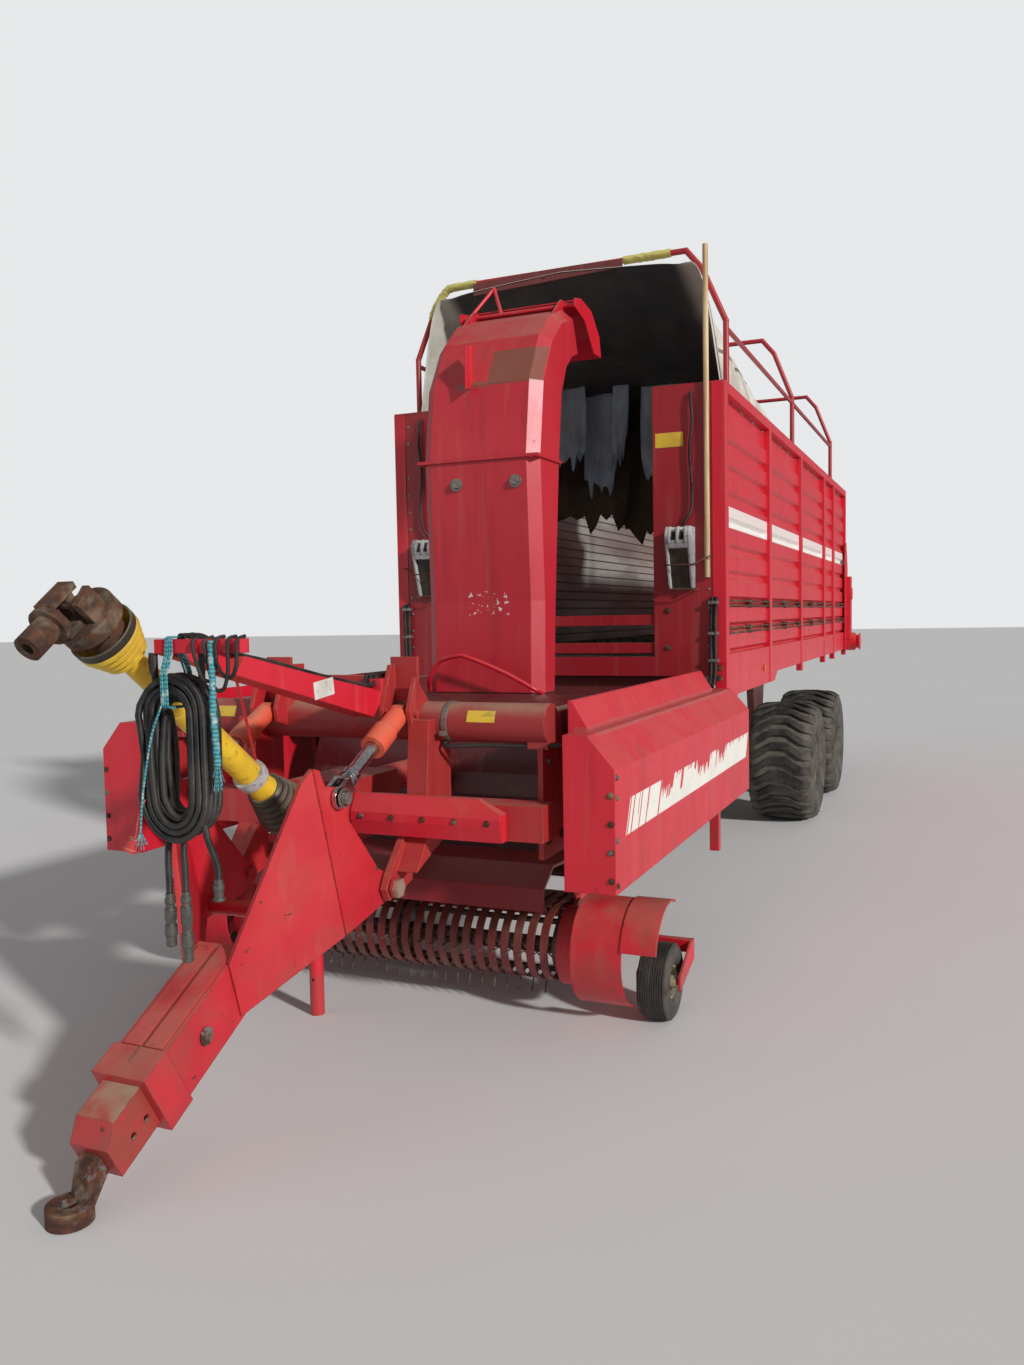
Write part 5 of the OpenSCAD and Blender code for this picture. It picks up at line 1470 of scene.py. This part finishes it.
@dataclass
class RoadTyre:
    """A wide tyre with stepped lugs, seen as one carcass and a ring of lugs."""

    radius: float = 0.465
    seat: float = 0.216
    lugs: int = 26
    lug_depth: float = 0.024
    steps: tuple[tuple[float, ...], ...] = (  # half a lug: place across, lag, half width, radius of the top
        (0.05, 0.0, 0.027, 0.465), (0.07, 0.006, 0.027, 0.4635), (0.16, 0.070, 0.026, 0.458),
        (0.20, 0.082, 0.024, 0.448), (0.236, 0.088, 0.020, 0.424))

    def lug(self) -> bpy.types.Mesh:
        """Shape one lug at the top of the tyre, around the wheel's middle, and return its mesh."""
        rows = []
        for y, lag, half, top in [(-y, *rest) for y, *rest in self.steps[::-1]] + list(self.steps):
            row = []
            foot = half + 0.006
            for along, r in ((-foot, top - 0.03), (-half, top), (half, top), (foot, top - 0.03)):
                a = (lag + along) / self.radius
                row.append(Vector((math.sin(a) * r, y, math.cos(a) * r)))
            rows.append(row)
        shape = Shape().grid(rows, True, True)
        for v in shape.mesh.verts:
            v[shape.hollow] = 0.0 if v.co.length > 0.44 and abs(v.co.y) < 0.2 else 0.6
        return shape.to_mesh("lug")

    def build(self, name: str, x: float, y: float) -> None:
        """Build one tyre.

        Args:
            name: the node it stands for.
            x: the axle's place.
            y: the tyre's middle.
        """
        base = self.radius - self.lug_depth
        half = [(0.205, 0.217), (0.222, 0.232), (0.228, 0.25), (0.236, 0.262), (0.2415, 0.30),
                (0.2485, 0.335), (0.2495, 0.355), (0.2465, 0.375), (0.2470, 0.380), (0.243, 0.392),
                (0.236, 0.408), (0.215, base - 0.016), (0.17, base - 0.006), (0.1, base - 0.001), (0.0, base)]
        profile = [(-0.2, self.seat - 0.002)] + [(-a, r) for a, r in half]
        profile += half[-2::-1] + [(0.2, self.seat - 0.002), (-0.2, self.seat - 0.002)]
        dust = [1.0 if r > base - 0.03 else 0.55 for _, r in profile]
        shape = Shape().lathe(profile, (0, 0, 0), (0, 1, 0), 104, dust)
        shape.mesh.from_mesh(RING.run(self.lug(), TYRE, {"Count": self.lugs, "Axis": (0, 1, 0),
                                                         "Step": math.tau / self.lugs}))
        shape.move((x, y, self.radius)).put(f"{name}_tread", TYRE, name.replace("tyre", "wheel"), (name,))


@dataclass
class GaugeTyre:
    """The ribbed tyre of a gauge wheel."""

    radius: float = 0.155
    width: float = 0.13
    place: Pair = (1.73, 1.12)
    rib: float = 0.0098

    def build(self, side: str, sign: int) -> None:
        """Build one tyre.

        Args:
            side: left or right.
            sign: 1 on the left, -1 on the right.
        """
        h = self.width / 2
        half = [(h * 0.82, 0.069), (h * 0.95, 0.085), (h, 0.105), (h * 0.99, 0.125), (h * 0.92, 0.142)]
        for k in range(5, -1, -1):
            a = k * self.rib
            top = self.radius - 0.9 * a * a
            half += [(a + 0.0028, top - 0.005), (a + 0.0024, top)]
            if k:
                half.append((a - 0.0036, top))
        profile = [(-0.05, 0.067)] + [(-a, r) for a, r in half] + half[::-1] + [(0.05, 0.067), (-0.05, 0.067)]
        dust = [0.2 if r > 0.145 else 0.7 for _, r in profile]
        middle = (self.place[0], sign * self.place[1], self.radius)
        Shape().lathe(profile, middle, (0, 1, 0), 48, dust).put(
            f"gauge_tread_{side}", GAUGE, f"gauge_wheel_{side}", (f"gauge_tyre_{side}",), smooth=50.0)


@dataclass
class Wheels:
    """All wheels: road tyres, gauge tyres and wheel nuts."""

    axles: Pair = (-2.7, -4.03)
    track: float = 1.87
    hub_z: float = 0.465
    nut_circle: float = 0.11

    def build(self) -> None:
        """Build the wheels' pieces."""
        for place, x in zip(("front", "rear"), self.axles):
            for side, sign in SIDES:
                RoadTyre().build(f"tyre_{place}_{side}", x, sign * self.track / 2)
                r = self.nut_circle
                ring = [(x + r * math.cos(a), sign * 1.0, self.hub_z + r * math.sin(a)) for a in turns(8)]
                studs(f"wheel_nuts_{place}_{side}", ring, (0, sign, 0), Head.BOLT, RUSTY,
                      f"wheel_{place}_{side}", False)
        for side, sign in SIDES:
            GaugeTyre().build(side, sign)


# Front

@dataclass
class FrontEnd:
    """Dressing of the front frame, drawbar, spout, guards and pick-up."""

    slope: float = 29.0
    bar: Pair = (3.652, 0.145)
    reel: Pair = (1.8, 0.285)
    ring: float = 0.125

    def on_bar(self, along: float, y: float, out: float) -> Vector:
        """A place on the drawbar: along its slope from its tip, and out from its middle line."""
        a = math.radians(self.slope)
        return Vector((self.bar[0] + along * math.cos(a) + out * math.sin(a), y,
                       self.bar[1] - along * math.sin(a) + out * math.cos(a)))

    def frame_bolts(self) -> None:
        """Bolt the beam cover, the gearbox and the frame's plates."""
        cover = [(2.4705, 0.18 + 0.13 * k, 0.91) for k in range(5)]
        studs("cover_bolts", cover, (1, 0, 0), Head.SMALL_BOLT, mirrored=False)
        box = [(2.4805, y, z) for y in (-0.1, 0.1) for z in (0.83, 1.0)]
        studs("gearbox_bolts", box, (1, 0, 0), Head.BOLT, mirrored=False)
        plates = [(x, 0.85, z) for x, z in ((2.05, 1.11), (2.25, 1.11), (2.12, 0.82), (2.26, 0.82))]
        studs("plate_bolts", plates, (0, 1, 0), Head.BOLT)

    def drawbar_parts(self) -> None:
        """Add the plug, the groove strips and the pin bolts of the drawbar."""
        Shape().lathe([(0, 0.029), (0.002, 0.030), (0.006, 0.030), (0.008, 0.026)],
                      (3.265, 0.0895, 0.355), (0, 1, 0), 24).put("tube_plug", RUSTY, "drawbar")
        strips = Shape()
        for y0, y1 in ((-0.075, -0.006), (0.006, 0.075)):
            corners = ((y0, 0.1), (y0, 0.106), (y1, 0.106), (y1, 0.1))
            strips.grid([[self.on_bar(s, y, out) for y, out in corners] for s in (-0.70, -0.295)], True, True)
        strips.put("tube_strips", BAR_PAINT, "drawbar", bevel=0.002)
        studs("eye_pin_bolts", [(2.83, 0.342, 1.045)], (0, 1, 0), Head.LARGE_BOLT, GREY_STEEL, "drawbar")

    def spout_parts(self) -> None:
        """Add the spout's bolts, handle rail and blade."""
        bolts = [(0.996, -0.119, 2.31), (0.996, 0.205, 2.31)]
        studs("spout_bolts", bolts, (1, 0, 0), Head.LARGE_BOLT, GREY_STEEL, mirrored=False)
        Shape().curve([(0.99, -0.30, 1.27), (1.05, -0.268, 1.33), (1.07, -0.207, 1.419), (1.08, -0.10, 1.45),
                       (1.08, -0.037, 1.444), (1.07, 0.15, 1.37), (1.05, 0.30, 1.29), (0.99, 0.33, 1.26)],
                      6, 0.011, 10).put("spout_rail", PAINT, smooth=SOFT_EDGE)
        Shape().prism([(0.92, 2.80), (1.0, 2.78), (0.99, 2.99), (0.90, 3.02)], Axis.Y, -0.06, -0.052
                          ).put("spout_blade", PAINT, bevel=0.001)

    def guard_bolts(self) -> None:
        """Bolt the side guards' front edges."""
        studs("guard_bolts", [(2.3905, 1.135, 0.72 + 0.1 * k) for k in range(4)], (1, 0, 0), Head.SMALL_BOLT)
        side = [(2.37, 1.1505, z) for z in (0.70, 0.86, 1.01, 1.08)]
        studs("guard_side_bolts", side, (0, 1, 0), Head.SMALL_BOLT)

    def pickup_bolts(self) -> None:
        """Bolt the pick-up's end rings."""
        ring = [(self.reel[0] + self.ring * math.cos(a), 0.8325, self.reel[1] + self.ring * math.sin(a))
                for a in turns(6)]
        studs("ring_bolts", ring, (0, 1, 0), Head.SMALL_BOLT, body="pickup")

    def cables(self) -> None:
        """Lay the cables along the hose arm and round its bar, and clamp one to the round tube."""
        shape = Shape()
        for y, lift in ((0.158, 0.0), (0.178, 0.002), (0.199, 0.0)):
            shape.curve([(3.46, y + 0.06, 1.606), (3.38, y + 0.04, 1.600 + lift), (3.19, y, 1.545 + lift),
                         (3.0, y + 0.006, 1.507), (2.826, y, 1.470 + lift), (2.6, y - 0.004, 1.425 + lift),
                         (2.40, y, 1.395), (2.36, y, 1.428), (2.27, y - 0.01, 1.428), (2.20, y - 0.02, 1.43)],
                        5, 0.008)
        for y, dip in ((0.33, 0.06), (0.37, 0.085), (0.40, 0.05)):
            shape.curve([(3.445, y - 0.05, 1.602), (3.487, y - 0.045, 1.59), (3.489, y - 0.04, 1.55),
                         (3.484, y - 0.02, 1.55 - dip), (3.482, y + 0.01, 1.542 - dip),
                         (3.485, y + 0.03, 1.56 - dip * 0.6), (3.487, y + 0.035, 1.59),
                         (3.445, y + 0.03, 1.603)], 4, 0.0055)
        shape.curve([(2.29, 0.452, 1.178), (2.315, 0.47, 1.162), (2.30, 0.60, 1.168), (2.29, 0.80, 1.17),
                     (2.27, 0.93, 1.176)], 5, 0.008)
        shape.put("arm_cables", HOSE, smooth=SOFT_EDGE)
        ring = Shape().lathe([(0, 0.0745), (0, 0.079), (0.022, 0.079), (0.022, 0.0745), (0, 0.0745)],
                             (2.26, 0.456, 1.25), (0, 1, 0), 40)
        ring.block((2.328, 0.455, 1.205), (2.352, 0.479, 1.222)).put("tube_clamp", GREY_STEEL, bevel=0.001)

    def build(self) -> None:
        """Build all front pieces."""
        self.cables()
        self.frame_bolts()
        self.drawbar_parts()
        self.spout_parts()
        self.guard_bolts()
        self.pickup_bolts()


@dataclass
class DriveShaft:
    """The yellow guard of the drive shaft with its ribbed cones, and the grey clamp."""

    joint: Point = (2.66, 0.0, 0.94)
    slope: float = 38.0

    def ribs(self, start: float, end: float, r0: float, r1: float, count: int) -> list[Pair]:
        """The profile of a ribbed cone.

        Args:
            start: where it begins along the shaft.
            end: where it ends.
            r0: radius at its start.
            r1: radius at its end.
            count: how many ribs it has.

        Returns:
            The profile's points.
        """
        points, pitch = [], (end - start) / count
        for k in range(count):
            a = start + pitch * k
            top = max(r0 + (r1 - r0) * k / count, r0 + (r1 - r0) * (k + 1) / count)
            points += [(a, top - 0.007), (a + pitch * 0.2, top), (a + pitch * 0.75, top),
                       (a + pitch * 0.95, top - 0.007)]
        return points

    def turned(self, profile: list[Pair], steps: int, shape: Shape | None = None) -> Shape:
        """Turn a profile around the shaft's line, into a given shape or a new one."""
        a = math.radians(self.slope)
        return (shape or Shape()).lathe(profile, self.joint, (math.cos(a), 0.0, math.sin(a)), steps)

    def build(self) -> None:
        """Build the guard's tubes and cones."""
        tube = self.turned([(0.150, 0.030), (0.150, 0.050), (0.189, 0.052), (0.200, 0.046), (0.705, 0.046),
                            (0.712, 0.044), (0.714, 0.038), (0.985, 0.038), (0.992, 0.046), (0.992, 0.030),
                            (0.150, 0.030)], 40)
        self.turned([(0.985, 0.03), (0.985, 0.055), *self.ribs(0.992, 1.09, 0.062, 0.099, 4), (1.113, 0.1),
                     (1.114, 0.094), (1.02, 0.05), (1.02, 0.03), (0.985, 0.03)], 48, tube)
        tube.put("shaft_guard_tube", YELLOW, replaces=("shaft_guard",))
        black = self.turned([(0.032, 0.094), *self.ribs(0.034, 0.19, 0.1, 0.06, 6), (0.192, 0.058),
                             (0.192, 0.05), (0.15, 0.05), (0.06, 0.088), (0.032, 0.094)], 48)
        self.turned([(1.088, 0.0985), (1.090, 0.1), (1.113, 0.1), (1.115, 0.098), (1.115, 0.095),
                     (1.088, 0.0985)], 48, black)
        black.put("shaft_guard_cones", BLACK_RIB, replaces=("shaft_guard",))
        self.turned([(0.262, 0.046), (0.262, 0.058), (0.275, 0.06), (0.288, 0.06), (0.30, 0.058),
                     (0.30, 0.046), (0.262, 0.046)], 32).put("guard_clamp", GREY_PLASTIC)


def dress_nodes() -> None:
    """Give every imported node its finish."""
    left = set(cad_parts)
    for finish, names in NODE_FINISHES.items():
        for name in names.split():
            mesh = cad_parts[name].data
            mesh.materials.clear()
            mesh.materials.append(finish.material())
            LOG.info("%s: finish %s", name, finish.name)
            left.discard(name)
    if left:
        LOG.warning("nodes without a finish: %s", sorted(left))


def main() -> None:
    """Build everything in order."""
    Studio().build()
    Hoses().build()
    dress_nodes()
    Roof().build()
    LoadBody().build()
    Wheels().build()
    FrontEnd().build()
    DriveShaft().build()


if __name__ == "__main__":
    main()
